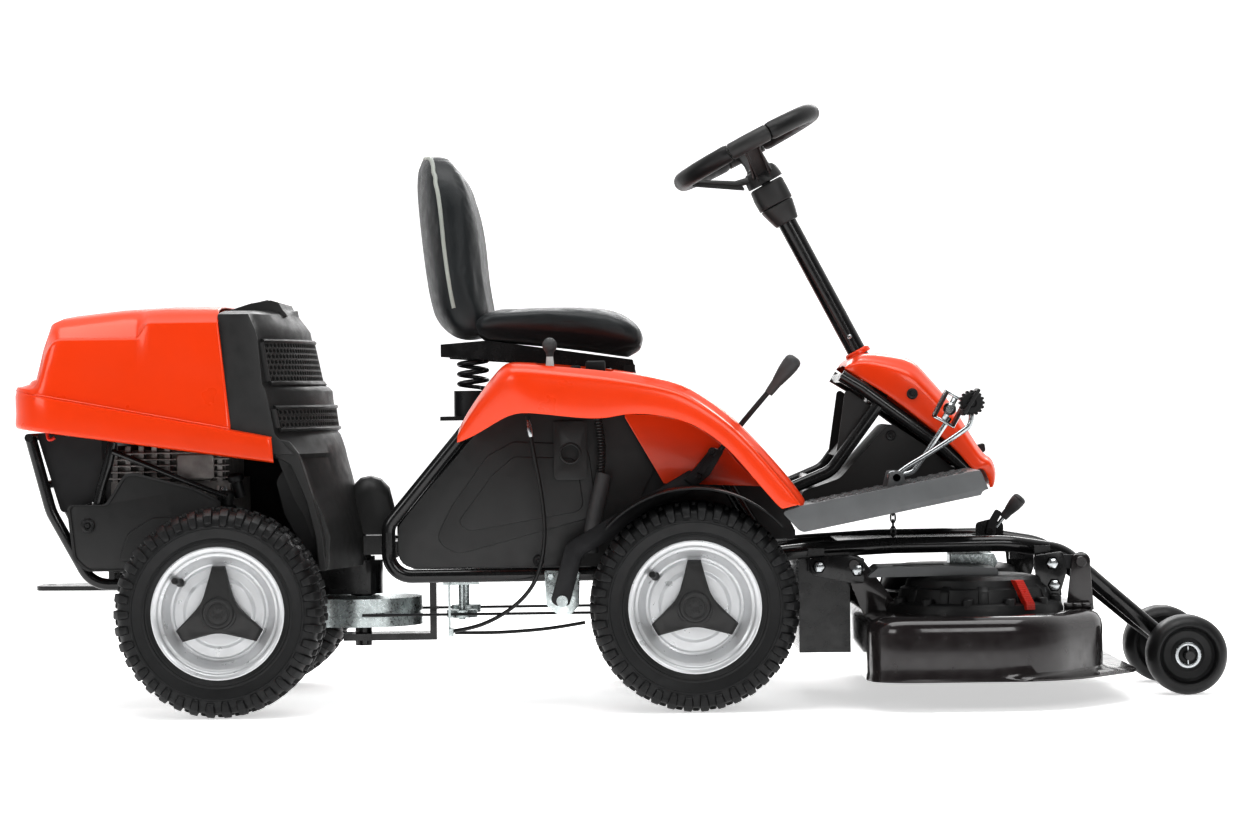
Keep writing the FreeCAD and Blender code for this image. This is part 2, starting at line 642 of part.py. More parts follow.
DRUM = dim("drum_radius")
drum_body = ring(PIN_RADIUS + 0.3, 30, 134, 186, (PIVOT.x, 0)).fuse(ring(20, DRUM, 176, 184, (PIVOT.x, 0)))
drum_wall = ring(DRUM - 6, DRUM, 134, 184, (PIVOT.x, 0))
groove = ring(DRUM - 3, DRUM + 2, 152, 159, (PIVOT.x, 0))
feature("steering_drum", drum_body.fuse(drum_wall).cut(groove))

REAR_RAIL_Y = 200
REAR_TUBE = dim("rear_tube_radius")


def rear_rail(y, inset):
    """Bent tube from the rear frame's cross beam back and up to the hood hinge."""
    return pipe([(-586, y, 222 + inset), (-930 + inset, y, 222 + inset, 50), (-1000 + inset, y, 350, 90),
                 (-1034 + inset, y, 480)], REAR_TUBE)


def rear_frame_shape():
    """Arm round the pivot bush, cross beam, bent tubes and engine bed."""
    arm = Part.makeCylinder(36, 60, V(PIVOT.x, 0, 190)).fuse(block((-590, -36, 190), (PIVOT.x, 36, 250)))
    arm = arm.cut(Part.makeCylinder(22, 80, V(PIVOT.x, 0, 180)))
    beam = block((-604, -210, 200), (-576, 210, 244))
    rails = [rear_rail(side * REAR_RAIL_Y, 0) for side in SIDES.values()]
    inner_rails = [rear_rail(side * (REAR_RAIL_Y - 24), 28) for side in SIDES.values()]
    bed = block((-920, -205, 258), (-590, 205, 264)).cut(Part.makeCylinder(14, 20, V(-795, 0, 250)))
    bed_feet = [block((x, -205, 216), (x + 10, 205, 262)) for x in (-900, -730, -620)]
    cross = rod((-1012, -REAR_RAIL_Y, 396), (-1012, REAR_RAIL_Y, 396), 8)
    hinge_bar = rod((-1034, -REAR_RAIL_Y - 22, 480), (-1034, REAR_RAIL_Y + 22, 480), 7)
    return joined([arm, beam, bed, cross, hinge_bar] + rails + inner_rails + bed_feet)


weldment = doc.addObject("Part::Feature", "rear_weldment")
weldment.Shape = rear_frame_shape()
hitch = doc.addObject("PartDesign::Body", "hitch_plate")
add_pad(hitch, "XY_Plane", [(-1056, -45, 20), (-1056, 45, 20), (-888, 75), (-888, -75)], 8,
    holes=[(-1034, 0, 8)])
put(hitch, (0, 0, 208))
rear_frame = doc.addObject("Part::Compound", "rear_frame")
rear_frame.Links = [weldment, bush, hitch]
keep(rear_frame, "rear_frame")

gearbox = block((REAR_AXLE.x - 90, -110, 112), (REAR_AXLE.x + 80, 110, 212))
feature("rear_axle", joined([
    gearbox, rod((REAR_AXLE.x, -238, REAR_AXLE.z), (REAR_AXLE.x, 238, REAR_AXLE.z), 26),
    rod((REAR_AXLE.x, -STUB_END, REAR_AXLE.z), (REAR_AXLE.x, STUB_END, REAR_AXLE.z), dim("stub_radius"))]))

# ---------------------------------------------------------------- engine bay

engine_pieces = [block((-900, -165, 300), (-690, 150, 400)), block((-880, -120, 264), (-710, 120, 302))]
FIN_COUNT, FIN_PITCH = 9, 23
for index in range(FIN_COUNT):
    fin_x = -896 + index * FIN_PITCH
    engine_pieces.append(block((fin_x, -172, 398), (fin_x + 9, 150, 462)))
engine_pieces.append(block((-890, -150, 398), (-700, 140, 455)))
feature("engine_block", joined(engine_pieces))
feature("engine_shroud", joined([Part.makeCylinder(118, 110, V(-795, 0, 462.3)),
                                 Part.makeCylinder(70, 50, V(-795, 0, 570))]))
feature("engine_pulley", ring(11, 52, 226, 250, (-795, 0)).fuse(Part.makeCylinder(12, 44, V(-795, 0, 219))))
feature("muffler", side_slab([(-1004, 500, 18), (-1004, 570, 18), (-918, 570, 18), (-918, 500, 18)], -110,
    110))
feature("fuel_tank", block((-672, -170, 505), (-640, 170, 640)))

SHIELD_OUTLINE = [(-968, 362, 8), (-901, 362, 8), (-867, 414, 10), (-850, 417, 10), (-742, 385),
                  (-700, 365), (-700, 246), (-936, 246, 14)]
paired_plates("side_shields", SHIELD_OUTLINE, "dims.skin", "dims.frame_offset + 26", holes=[(-932, 326, 6)])

# ---------------------------------------------------------------- hood and front cover

COVER_OUTLINE = [
    (-699, 698, 8), (-606, 710, 10), (-579, 684, 10), (-558, 651, 10), (-541, 574), (-519, 502), (-497, 438),
    (-483, 300), (-515, 245, 10), (-566, 245), (-604, 300), (-606, 440), (-672, 492),
]
COVER_PLAN = both_sides([(-705, -250), (-640, -247, 20), (-608, -236, 20), (-549, -234, 10),
                         (-534, -186, 20), (-498, -120, 60), (-478, -50, 20)])


def hollowed(side_points, plan_points, wall, shift):
    """Shell where a side outline and a plan outline meet, opened towards the shift."""
    tall, wide = 1200, 600
    outer = side_slab(side_points, -wide, wide).common(plan_slab(plan_points, 0, tall))
    side_face = Part.Face(Part.Wire([e.toShape() for e in rounded_path(
        [(p[0], -wide, p[1]) for p in side_points], closed=True)])).makeOffset2D(-wall, 2)
    inner = side_face.extrude(V(0, 2 * wide, 0)).common(plan_slab(plan_points, 0, tall, wall))
    opened = inner.copy()
    opened.translate(shift)
    return outer.cut(inner).cut(opened)


cover = hollowed(COVER_OUTLINE, COVER_PLAN, dim("skin"), V(-12, 0, -8))
pivot_clearance = Part.makeCylinder(78, 200, V(PIVOT.x, 0, 240))
feature("front_cover", cover.cut(pivot_clearance))

HOOD_OUTLINE = [
    (-1058, 500, 6), (-1060, 548, 10), (-1036, 642, 20), (-1000, 686, 30), (-937, 694, 60), (-786, 707, 90),
    (-702, 704), (-679, 498), (-606, 484), (-604, 436), (-700, 444),
]
HOOD_PLAN = both_sides([(-1060, -225, 70), (-1005, -276, 60), (-600, -280)])
feature("hood", hollowed(HOOD_OUTLINE, HOOD_PLAN, dim("skin"), V(8, 0, -10)).cut(
    block((-1090, -REAR_RAIL_Y - 30, 440), (-1016, REAR_RAIL_Y + 30, 497))).cut(
    block((-700, -262, 420), (-590, 262, 720))))

# ---------------------------------------------------------------- deck frame

DECK_TUBE = dim("deck_tube_radius")
SUPPORT_AXLE = V(990, 0, dim("support_radius"))


REAR_LINK_PIVOT, FRONT_LINK_PIVOT = V(336, 0, 240), V(731, 0, 240)
LINK_LENGTH, LINK_Y = 64, 212
SLOT_HALF = 6.8
LEVER_PIVOT = V(664, 0, 284)


def link_ears(pivot, low_z, high_z, half_width):
    """Cheek plates just inside the links, each with a headed pin through its link."""
    pieces = []
    pin_end = LINK_Y + 9
    for side in SIDES.values():
        near, far = side * (LINK_Y - 8), side * (LINK_Y - 22)
        low, high = min(near, far), max(near, far)
        pieces.append(block((pivot.x - half_width, low, low_z), (pivot.x + half_width, high, high_z)))
        pieces.append(rod((pivot.x, side * (LINK_Y - 12), pivot.z), (pivot.x, side * pin_end, pivot.z), 6))
        pieces.append(rod((pivot.x, side * (LINK_Y + 4), pivot.z), (pivot.x, side * pin_end, pivot.z), 9))
    return pieces


def deck_tube(side):
    """Main tube of the deck frame, from the chassis hinge to the support axle."""
    rear = [(DECK_HINGE.x, side * 170, DECK_HINGE.z), (330, side * 174, 264, 60), (470, side * 186, 271,
        100)]
    front = [(672, side * 186, 272, 120), (770, side * 158, 256, 90), (855, side * 112, 184, 60), (972,
        side * 78, 84)]
    return pipe(rear + front, DECK_TUBE)


def deck_frame_shape():
    """Two long tubes with a hinge boss, a centre plate, front cheeks and the support axle."""
    tubes = [deck_tube(side) for side in SIDES.values()]
    hinge_bar = rod((DECK_HINGE.x, -184, DECK_HINGE.z), (DECK_HINGE.x, 184, DECK_HINGE.z), 16)
    bore = rod((DECK_HINGE.x, -190, DECK_HINGE.z), (DECK_HINGE.x, 190, DECK_HINGE.z), 8.05)
    centre_plate = block((380, -180, 268), (640, 180, 276))
    low_bar = rod((962, -86, 92), (962, 86, 92), 10)
    axle = rod((SUPPORT_AXLE.x, -184, SUPPORT_AXLE.z), (SUPPORT_AXLE.x, 184, SUPPORT_AXLE.z), 8)
    tabs = [block((955, y - 4, 58), (1002, y + 4, 98)) for y in (-82, 82)]
    guard = [block((306, -172, 84), (312, 172, 256)), block((306, -172, 84), (396, -166, 256)),
             block((306, 166, 84), (396, 172, 256)), block((306, -172, 84), (396, 172, 88))]
    quadrant = side_slab([(640, 270), (640, 300, 8), (664, 306, 10), (690, 300, 8), (690, 270)], 44, 48)
    quadrant_foot = block((620, 43, 268), (690, 60, 276))
    quadrant_pin = rod((LEVER_PIVOT.x, 32, LEVER_PIVOT.z), (LEVER_PIVOT.x, 46, LEVER_PIVOT.z), 6)
    links = link_ears(REAR_LINK_PIVOT, 226, 268, 14) + link_ears(FRONT_LINK_PIVOT, 226, 268, 14)
    frame = joined(tubes + [hinge_bar, centre_plate, low_bar, axle, quadrant,
        quadrant_foot] + guard + tabs + links)
    return frame.fuse(quadrant_pin).cut(bore)


feature("deck_frame", deck_frame_shape())
SUPPORT_HALF = dim("support_width") / 2
for name, side in SIDES.items():
    profile = [(8.05, -30), (24, -30), (24, -20), (46, -20), (50, -SUPPORT_HALF, 4), (62, -SUPPORT_HALF, 8),
               (dim("support_radius"), -SUPPORT_HALF + 14, 8), (dim("support_radius"), SUPPORT_HALF - 14, 8),
               (62, SUPPORT_HALF, 8), (50, SUPPORT_HALF, 4), (46, 20), (24, 20), (24, 30), (8.05, 30)]
    turned(f"support_wheel_{name}", "XY_Plane", profile,
           ("990", f"{side} * dims.support_offset", "dims.support_radius"))


# ---------------------------------------------------------------- deck links and height lever

def link_pair(pivot):
    """Two parallel links on one axis, each with a round eye and a slotted eye."""
    links = []
    for side in SIDES.values():
        low, high = side * LINK_Y - 3, side * LINK_Y + 3
        tip_x = pivot.x + LINK_LENGTH
        bar = block((pivot.x, low, pivot.z - 12), (tip_x, high, pivot.z + 12))
        bar = joined([bar, rod((pivot.x, low, pivot.z), (pivot.x, high, pivot.z), 14),
                      rod((tip_x + 2, low, pivot.z), (tip_x + 2, high, pivot.z), 16)])
        bar = bar.cut(rod((pivot.x, low - 1, pivot.z), (pivot.x, high + 1, pivot.z), 6.05))
        slot = block((tip_x - 1, low - 1, pivot.z - SLOT_HALF), (tip_x + 4, high + 1, pivot.z + SLOT_HALF))
        ends = [rod((x, low - 1, pivot.z), (x, high + 1, pivot.z), SLOT_HALF) for x in (tip_x - 1,
            tip_x + 4)]
        links.append(bar.cut(joined([slot] + ends)))
    return Part.makeCompound(links)


feature("deck_links_rear", link_pair(REAR_LINK_PIVOT))
feature("deck_links_front", link_pair(FRONT_LINK_PIVOT))


height_lever = side_slab([(656, 276, 6), (662, 300), (676, 322), (686, 318), (674, 296), (674, 276, 6)],
    34, 40)
height_lever = height_lever.fuse(Part.makeCone(9, 13, 42, V(677, 37, 312), V(22, 0, 38)))
height_lever = height_lever.cut(rod((LEVER_PIVOT.x, 30, LEVER_PIVOT.z), (LEVER_PIVOT.x, 50,
    LEVER_PIVOT.z), 6.05))
feature("height_lever", height_lever)

# ---------------------------------------------------------------- cutting deck

DECK_HALF, DECK_RIM, DECK_TOP = dim("deck_half_width"), dim("deck_rim_height"), dim("deck_top_height")
DECK_PLAN = both_sides([(410, -DECK_HALF, 90), (706, -DECK_HALF, 170), (829, -272, 110)])
LIP_PLAN = both_sides([(430, -DECK_HALF, 80), (742, -DECK_HALF, 190), (890, -262, 130)])
BLADE_X, BLADE_Y = 620, dim("blade_offset")
PULLEY_RADIUS, SPINDLE_RADIUS = 70, 15
BELT_LOW, BELT_HIGH = 172, 184


def deck_shell_shape():
    """Pressed deck: side wall, top, flared lower lip, spindle holes and link brackets."""
    metal = dim("sheet_metal")
    wall = plan_slab(DECK_PLAN, DECK_RIM, DECK_TOP).cut(plan_slab(DECK_PLAN, DECK_RIM - 1,
        DECK_TOP - metal, metal))
    lip_ring = plan_slab(LIP_PLAN, DECK_RIM, DECK_RIM + 8).fuse(plan_slab(DECK_PLAN, DECK_RIM, DECK_RIM + 8))
    lip_ring = lip_ring.cut(plan_slab(DECK_PLAN, DECK_RIM - 1, DECK_RIM + 9, metal))
    holes = [Part.makeCylinder(26, 80, V(BLADE_X, side * BLADE_Y, 120)) for side in SIDES.values()]
    tip_pivots = [V(p.x + LINK_LENGTH, 0, p.z) for p in (REAR_LINK_PIVOT, FRONT_LINK_PIVOT)]
    rear_cheek = [(388, 254, 8), (412, 254, 8), (476, DECK_TOP - 2), (418, DECK_TOP - 2), (388, 228, 8)]
    front_cheek = [(780, 254, 8), (810, 254, 8), (816, DECK_TOP - 2), (770, DECK_TOP - 2)]
    ears = []
    for side in SIDES.values():
        near, far = side * (LINK_Y + 7), side * (LINK_Y + 13)
        ears += [side_slab(cheek, min(near, far), max(near, far)) for cheek in (rear_cheek, front_cheek)]
        ears += [rod((p.x, side * (LINK_Y - 6), p.z), (p.x, side * (LINK_Y + 8), p.z),
            6) for p in tip_pivots]
    housings = [ring(SPINDLE_RADIUS + 0.05, 25.7, 118, 168, (BLADE_X,
        side * BLADE_Y)) for side in SIDES.values()]
    flanges = [ring(25, 46, 148, DECK_TOP - 2, (BLADE_X, side * BLADE_Y)) for side in SIDES.values()]
    shell = joined([wall, lip_ring] + ears)
    for hole in holes:
        shell = shell.cut(hole)
    return joined([shell] + housings + flanges)


feature("deck_shell", deck_shell_shape())


def cover_mound(grow):
    """Tiered mound over one deck pulley, grown or shrunk by a wall."""
    tiers = [(118, 182), (106, 204), (88, 222)]
    return [Part.makeCylinder(radius + grow, high + grow - DECK_TOP, V(BLADE_X, side * BLADE_Y, DECK_TOP))
            for side in SIDES.values() for radius, high in tiers]


BRIDGE_HALF, COVER_WALL = 76, 3
bridge_high = block((BLADE_X - BRIDGE_HALF, -BLADE_Y, DECK_TOP), (BLADE_X + BRIDGE_HALF, BLADE_Y, 196))
bridge_low = block((BLADE_X - BRIDGE_HALF + COVER_WALL, -BLADE_Y, DECK_TOP),
                   (BLADE_X + BRIDGE_HALF - COVER_WALL, BLADE_Y, 196 - COVER_WALL))
cover_outside = joined(cover_mound(0) + [bridge_high])
cover_inside = joined(cover_mound(-COVER_WALL) + [bridge_low])
feature("belt_cover", cover_outside.cut(cover_inside))

for name, side in SIDES.items():
    here = V(BLADE_X, side * BLADE_Y, 0)
    spindle = Part.makeCylinder(SPINDLE_RADIUS, 132, here + V(0, 0, 66))
    pulley = ring(SPINDLE_RADIUS - 1, PULLEY_RADIUS, 169, 187, (here.x, here.y))
    pulley = pulley.cut(ring(PULLEY_RADIUS - 9, PULLEY_RADIUS + 1, BELT_LOW, BELT_HIGH, (here.x, here.y)))
    spindle_body = doc.addObject("Part::Feature", f"spindle_{name}")
    spindle_body.Shape = spindle.fuse(pulley)
    half = dim("blade_length") / 2
    blade = [(-half, -26), (half - 60, -26), (half, -14), (half, 26), (-half + 60, 26), (-half, 14)]
    turn = 12 if side == RIGHT else 78
    bar = doc.addObject("PartDesign::Body", f"blade_bar_{name}")
    add_pad(bar, "XY_Plane", blade, 5)
    put(bar, (BLADE_X, f"{side} * dims.blade_offset", 70), angle=turn)
    blade_set = doc.addObject("Part::MultiFuse", f"blade_{name}")
    blade_set.Shapes = [bar, spindle_body]
    keep(blade_set, f"blade_{name}")


def deck_belt_shape():
    """Belt round the two deck pulleys, clear of their grooves."""
    gap, depth = 0.5, 8
    inner_radius = PULLEY_RADIUS - 9 + gap
    faces = []
    for radius in (inner_radius + depth, inner_radius):
        loop_outer = block((BLADE_X - radius, -BLADE_Y, BELT_LOW + 1), (BLADE_X + radius, BLADE_Y,
            BELT_HIGH - 1))
        ends = [Part.makeCylinder(radius, BELT_HIGH - BELT_LOW - 2, V(BLADE_X, side * BLADE_Y, BELT_LOW + 1))
                for side in SIDES.values()]
        faces.append(joined([loop_outer] + ends))
    return faces[0].cut(faces[1])


feature("deck_belt", deck_belt_shape())

# ---------------------------------------------------------------- cables and chain

CHAIN_X, CHAIN_Y = 474, -162
feature("lift_chain", rod((CHAIN_X, CHAIN_Y, 276.4), (CHAIN_X, CHAIN_Y, 373), 5))


def cable(points, radius):
    """Cable along hand-laid points, each corner as round as its two runs allow."""
    places = [V(*p) for p in points]
    laid = [tuple(places[0])]
    for before, place, after in zip(places, places[1:], places[2:]):
        back, ahead = before - place, after - place
        half_turn = (math.pi - back.getAngle(ahead)) / 2
        laid.append(tuple(place) + (0.45 * min(back.Length, ahead.Length) / math.tan(half_turn),))
    laid.append(tuple(places[-1]))
    return pipe(laid, radius)


LIFT_CABLE = [(-164, -240, 506), (-160, -241, 478), (-152, -243, 430), (-142, -244, 375), (-136, -244, 320),
              (-138, -243, 278), (-147, -240, 236), (-163, -232, 204), (-190, -218, 176), (-226, -194, 152),
              (-268, -162, 134), (-306, -128, 127)]
CONTROL_CABLE = [(-70, -150, 141), (-122, -148, 132), (-180, -146, 127), (-240, -140, 124),
    (-300, -122, 124)]
# The steering cables leave the drum's groove at a tangent and run forward past the guide pulleys.
STEER_CABLE_Y, STEER_CABLE_Z = dim("drum_radius") - 0.2, 155.5
GUIDE_X = -290
steer_cables = [rod((PIVOT.x, side * STEER_CABLE_Y, STEER_CABLE_Z),
                    (-32, side * STEER_CABLE_Y, STEER_CABLE_Z), 2.5) for side in SIDES.values()]
feature("control_cables", Part.makeCompound([cable(LIFT_CABLE, 3), cable(CONTROL_CABLE, 3)] + steer_cables))
guide_y = STEER_CABLE_Y - 30
guides = [ring(5, 27, 149, 162, (GUIDE_X, side * guide_y)) for side in SIDES.values()]
studs = [Part.makeCylinder(6, 66, V(GUIDE_X, side * guide_y, 145)) for side in SIDES.values()]
guide_plate = block((-322, -110, 208), (-258, 110, 217.5))
anchor = block((-32, -114, 146), (-26, 114, 218))
clamp = block((-312, -136, 118), (-303, -114, 132)).fuse(block((-312, -128, 130), (-308, -122, 210)))
feature("pulley_block", joined([guide_plate] + guides + studs).fuse(clamp).fuse(anchor))

# ---------------------------------------------------------------- check and export

doc.recompute()
for obj in doc.Objects:
    if "Invalid" in obj.State or "Error" in obj.State:
        raise RuntimeError(f"{obj.Label} failed: {obj.State}")
for node in nodes:
    if node.Shape.isNull() or not node.Shape.isValid() or not node.Shape.Solids:
        raise RuntimeError(f"{node.Label} has no valid shape")

os.makedirs("parts", exist_ok=True)
for node in nodes:
    node.Shape.exportStep(os.path.join("parts", node.Label + ".step"))
whole = Part.makeCompound([node.Shape for node in nodes]).BoundBox
print(len(nodes), "sub-parts;", "x", round(whole.XMin, 1), round(whole.XMax, 1), "y", round(whole.YMin, 1),
      round(whole.YMax, 1), "z", round(whole.ZMin, 1), round(whole.ZMax, 1))
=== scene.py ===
import json
import math
import random
import bmesh
import bpy
from mathutils import Matrix, Vector


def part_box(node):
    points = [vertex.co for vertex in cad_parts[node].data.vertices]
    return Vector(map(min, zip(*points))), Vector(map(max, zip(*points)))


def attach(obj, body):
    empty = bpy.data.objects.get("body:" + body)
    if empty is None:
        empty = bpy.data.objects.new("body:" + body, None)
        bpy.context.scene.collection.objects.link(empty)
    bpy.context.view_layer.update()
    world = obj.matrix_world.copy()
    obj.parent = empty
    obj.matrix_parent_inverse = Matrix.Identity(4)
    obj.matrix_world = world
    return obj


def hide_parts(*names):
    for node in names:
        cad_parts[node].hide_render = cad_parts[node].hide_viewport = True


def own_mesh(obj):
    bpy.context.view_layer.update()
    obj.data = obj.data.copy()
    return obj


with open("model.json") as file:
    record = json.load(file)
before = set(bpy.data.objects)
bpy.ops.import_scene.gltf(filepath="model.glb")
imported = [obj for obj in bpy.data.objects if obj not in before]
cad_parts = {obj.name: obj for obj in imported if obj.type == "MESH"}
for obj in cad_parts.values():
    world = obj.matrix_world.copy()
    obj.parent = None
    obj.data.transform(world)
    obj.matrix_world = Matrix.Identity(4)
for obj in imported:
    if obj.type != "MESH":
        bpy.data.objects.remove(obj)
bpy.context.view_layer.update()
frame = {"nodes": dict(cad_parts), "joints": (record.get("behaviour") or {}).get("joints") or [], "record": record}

# Riding lawn mower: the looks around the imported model. Lengths in the code are millimetres of the
# model's frame (+X forward, +Y to the driver's left, +Z up); MM turns them into Blender's metres.

MM = 0.001
RIGHT, LEFT = -1, 1
SIDES = {"right": RIGHT, "left": LEFT}
SCENE = bpy.context.scene
random.seed(7)


def node_box(node):
    """Lowest and highest corner of a CAD node in millimetres."""
    low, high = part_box(node)
    return low / MM, high / MM


def node_centre(node):
    """Middle of a CAD node's box in millimetres."""
    low, high = node_box(node)
    return (low + high) / 2


# ---------------------------------------------------------------- camera, light and floor

def add_camera():
    """A long lens square to the machine's right side, at hub-cap height, rolled by under a degree."""
    data = bpy.data.cameras.new("camera")
    data.sensor_width = 36
    data.lens = 99.26
    data.shift_x, data.shift_y = -0.00586, -0.01213
    data.clip_end = 100
    camera = bpy.data.objects.new("camera", data)
    level = Matrix.Rotation(math.radians(90), 4, "X")
    camera.matrix_world = Matrix.Translation((0.014, -6.2, 0.532)) @ level @ Matrix.Rotation(-0.0135, 4, "Z")
    SCENE.collection.objects.link(camera)
    SCENE.camera = camera


def add_light(name, place, target, size, power, colour=(1, 1, 1)):
    """Soft rectangular lamp aimed at a point; places in metres."""
    data = bpy.data.lights.new(name, "AREA")
    data.shape = "RECTANGLE"
    data.size, data.size_y = size
    data.energy = power
    data.color = colour
    lamp = bpy.data.objects.new(name, data)
    lamp.location = place
    lamp.rotation_euler = (Vector(target) - Vector(place)).to_track_quat("-Z", "Y").to_euler()
    SCENE.collection.objects.link(lamp)


def add_studio():
    """White floor that curves up behind, a room that is bright behind and dim in front, soft lamps."""
    near, far, rise, width = -7.5, 5.0, 6.0, 14.0
    profile = [(near, 0.0), (near / 2, 0.0), (0.0, 0.0), (far, 0.0)]
    steps, bend = 12, 2.5
    for step in range(1, steps + 1):
        turn = math.radians(90 * step / steps)
        profile.append((far + bend * math.sin(turn), bend - bend * math.cos(turn)))
    profile.append((far + bend, rise))
    verts = [(side * width, y, z) for y, z in profile for side in (-1, 1)]
    faces = [(2 * k, 2 * k + 1, 2 * k + 3, 2 * k + 2) for k in range(len(profile) - 1)]
    mesh = bpy.data.meshes.new("floor")
    mesh.from_pydata(verts, [], faces)
    mesh.polygons.foreach_set("use_smooth", [True] * len(mesh.polygons))
    floor = bpy.data.objects.new("floor", mesh)
    SCENE.collection.objects.link(floor)
    paper = bpy.data.materials.new("studio_paper")
    paper.use_nodes = True
    shader = paper.node_tree.nodes["Principled BSDF"]
    shader.inputs["Base Color"].default_value = (0.93, 0.93, 0.93, 1)
    shader.inputs["Roughness"].default_value = 0.9
    shader.inputs["Emission Color"].default_value = (1, 1, 1, 1)
    shader.inputs["Emission Strength"].default_value = 0.62
    mesh.materials.append(paper)
    world = bpy.data.worlds.new("sky")
    SCENE.world = world
    world.use_nodes = True
    tree = world.node_tree
    background = tree.nodes["Background"]
    direction = tree.nodes.new("ShaderNodeTexCoord")
    split = tree.nodes.new("ShaderNodeSeparateXYZ")
    tree.links.new(direction.outputs["Generated"], split.inputs["Vector"])
    room = tree.nodes.new("ShaderNodeMapRange")
    room.inputs["From Min"].default_value = -0.45
    room.inputs["From Max"].default_value = 0.35
    room.inputs["To Min"].default_value = 0.1
    room.inputs["To Max"].default_value = 1.0
    tree.links.new(split.outputs["Y"], room.inputs["Value"])
    tree.links.new(room.outputs["Result"], background.inputs["Strength"])
    background.inputs["Color"].default_value = (1, 1, 1, 1)
    add_light("overhead", (0, -0.6, 3.4), (0, 0, 0.3), (4.2, 2.0), 92)
    add_light("front_fill", (1.8, -4.6, 2.6), (0.2, 0, 0.4), (2.6, 1.4), 56)
    add_light("rear_fill", (-3.6, -3.4, 2.2), (-0.6, 0, 0.4), (1.8, 1.4), 36)
    add_light("back_light", (0.5, 4.4, 2.8), (0, 0, 0.5), (3.6, 1.6), 70)
    SCENE.view_settings.view_transform = "Standard"
    SCENE.view_settings.gamma = 0.8


add_camera()
add_studio()

# ---------------------------------------------------------------- materials


def shader_node(tree, kind, **values):
    """A node with its input sockets set by name."""
    node = tree.nodes.new(kind)
    for name, value in values.items():
        node.inputs[name].default_value = value
    return node


def noise(tree, place, size, detail=2.0, roughness=0.5):
    """Noise whose blobs are about `size` millimetres across."""
    node = shader_node(tree, "ShaderNodeTexNoise", Scale=1000 / size, Detail=detail, Roughness=roughness)
    tree.links.new(place.outputs["Object"], node.inputs["Vector"])
    return node


def spread(tree, source, low, high):
    """Map a 0..1 value to low..high."""
    node = shader_node(tree, "ShaderNodeMapRange")
    node.inputs["From Min"].default_value = 0.3
    node.inputs["From Max"].default_value = 0.7
    node.inputs["To Min"].default_value = low
    node.inputs["To Max"].default_value = high
    tree.links.new(source, node.inputs["Value"])
    return node.outputs["Result"]


def material(name, colour, rough, metal=0.0, coat=0.0, tone=0.1, tone_size=60, rough_spread=0.08,
             grain=0.0, grain_size=0.8, cells=False, wave=0.0, wave_size=8.0, sheen=0.0, spec=0.5):
    """Procedural finish: cloudy tone, uneven gloss, and grain as noise or as leather cells."""
    finish = bpy.data.materials.new(name)
    finish.use_nodes = True
    tree = finish.node_tree
    shader = tree.nodes["Principled BSDF"]
    shader.inputs["Metallic"].default_value = metal
    shader.inputs["Coat Weight"].default_value = coat
    shader.inputs["Coat Roughness"].default_value = 0.08
    shader.inputs["Sheen Weight"].default_value = sheen
    shader.inputs["Specular IOR Level"].default_value = spec
    place = tree.nodes.new("ShaderNodeTexCoord")
    clouds = noise(tree, place, tone_size, 4.0)
    shade = tree.nodes.new("ShaderNodeMix")
    shade.data_type = "RGBA"
    shade.inputs[6].default_value = tuple(c * (1 - tone) for c in colour) + (1,)
    shade.inputs[7].default_value = tuple(min(1.0, c * (1 + tone)) for c in colour) + (1,)
    tree.links.new(spread(tree, clouds.outputs["Fac"], 0, 1), shade.inputs[0])
    tree.links.new(shade.outputs[2], shader.inputs["Base Color"])
    patches = noise(tree, place, tone_size * 0.35, 3.0)
    tree.links.new(spread(tree, patches.outputs["Fac"], rough - rough_spread, rough + rough_spread),
                   shader.inputs["Roughness"])
    normal = None
    if wave:
        ripple = noise(tree, place, wave_size, 1.0)
        bump = shader_node(tree, "ShaderNodeBump", Strength=wave, Distance=0.001)
        tree.links.new(ripple.outputs["Fac"], bump.inputs["Height"])
        normal = bump.outputs["Normal"]
    if grain:
        if cells:
            texture = shader_node(tree, "ShaderNodeTexVoronoi", Scale=1000 / grain_size)
            tree.links.new(place.outputs["Object"], texture.inputs["Vector"])
            height = texture.outputs["Distance"]
        else:
            height = noise(tree, place, grain_size, 3.0, 0.6).outputs["Fac"]
        bump = shader_node(tree, "ShaderNodeBump", Strength=grain, Distance=0.0006)
        tree.links.new(height, bump.inputs["Height"])
        if normal:
            tree.links.new(normal, bump.inputs["Normal"])
        normal = bump.outputs["Normal"]
    if normal:
        tree.links.new(normal, shader.inputs["Normal"])
    return finish


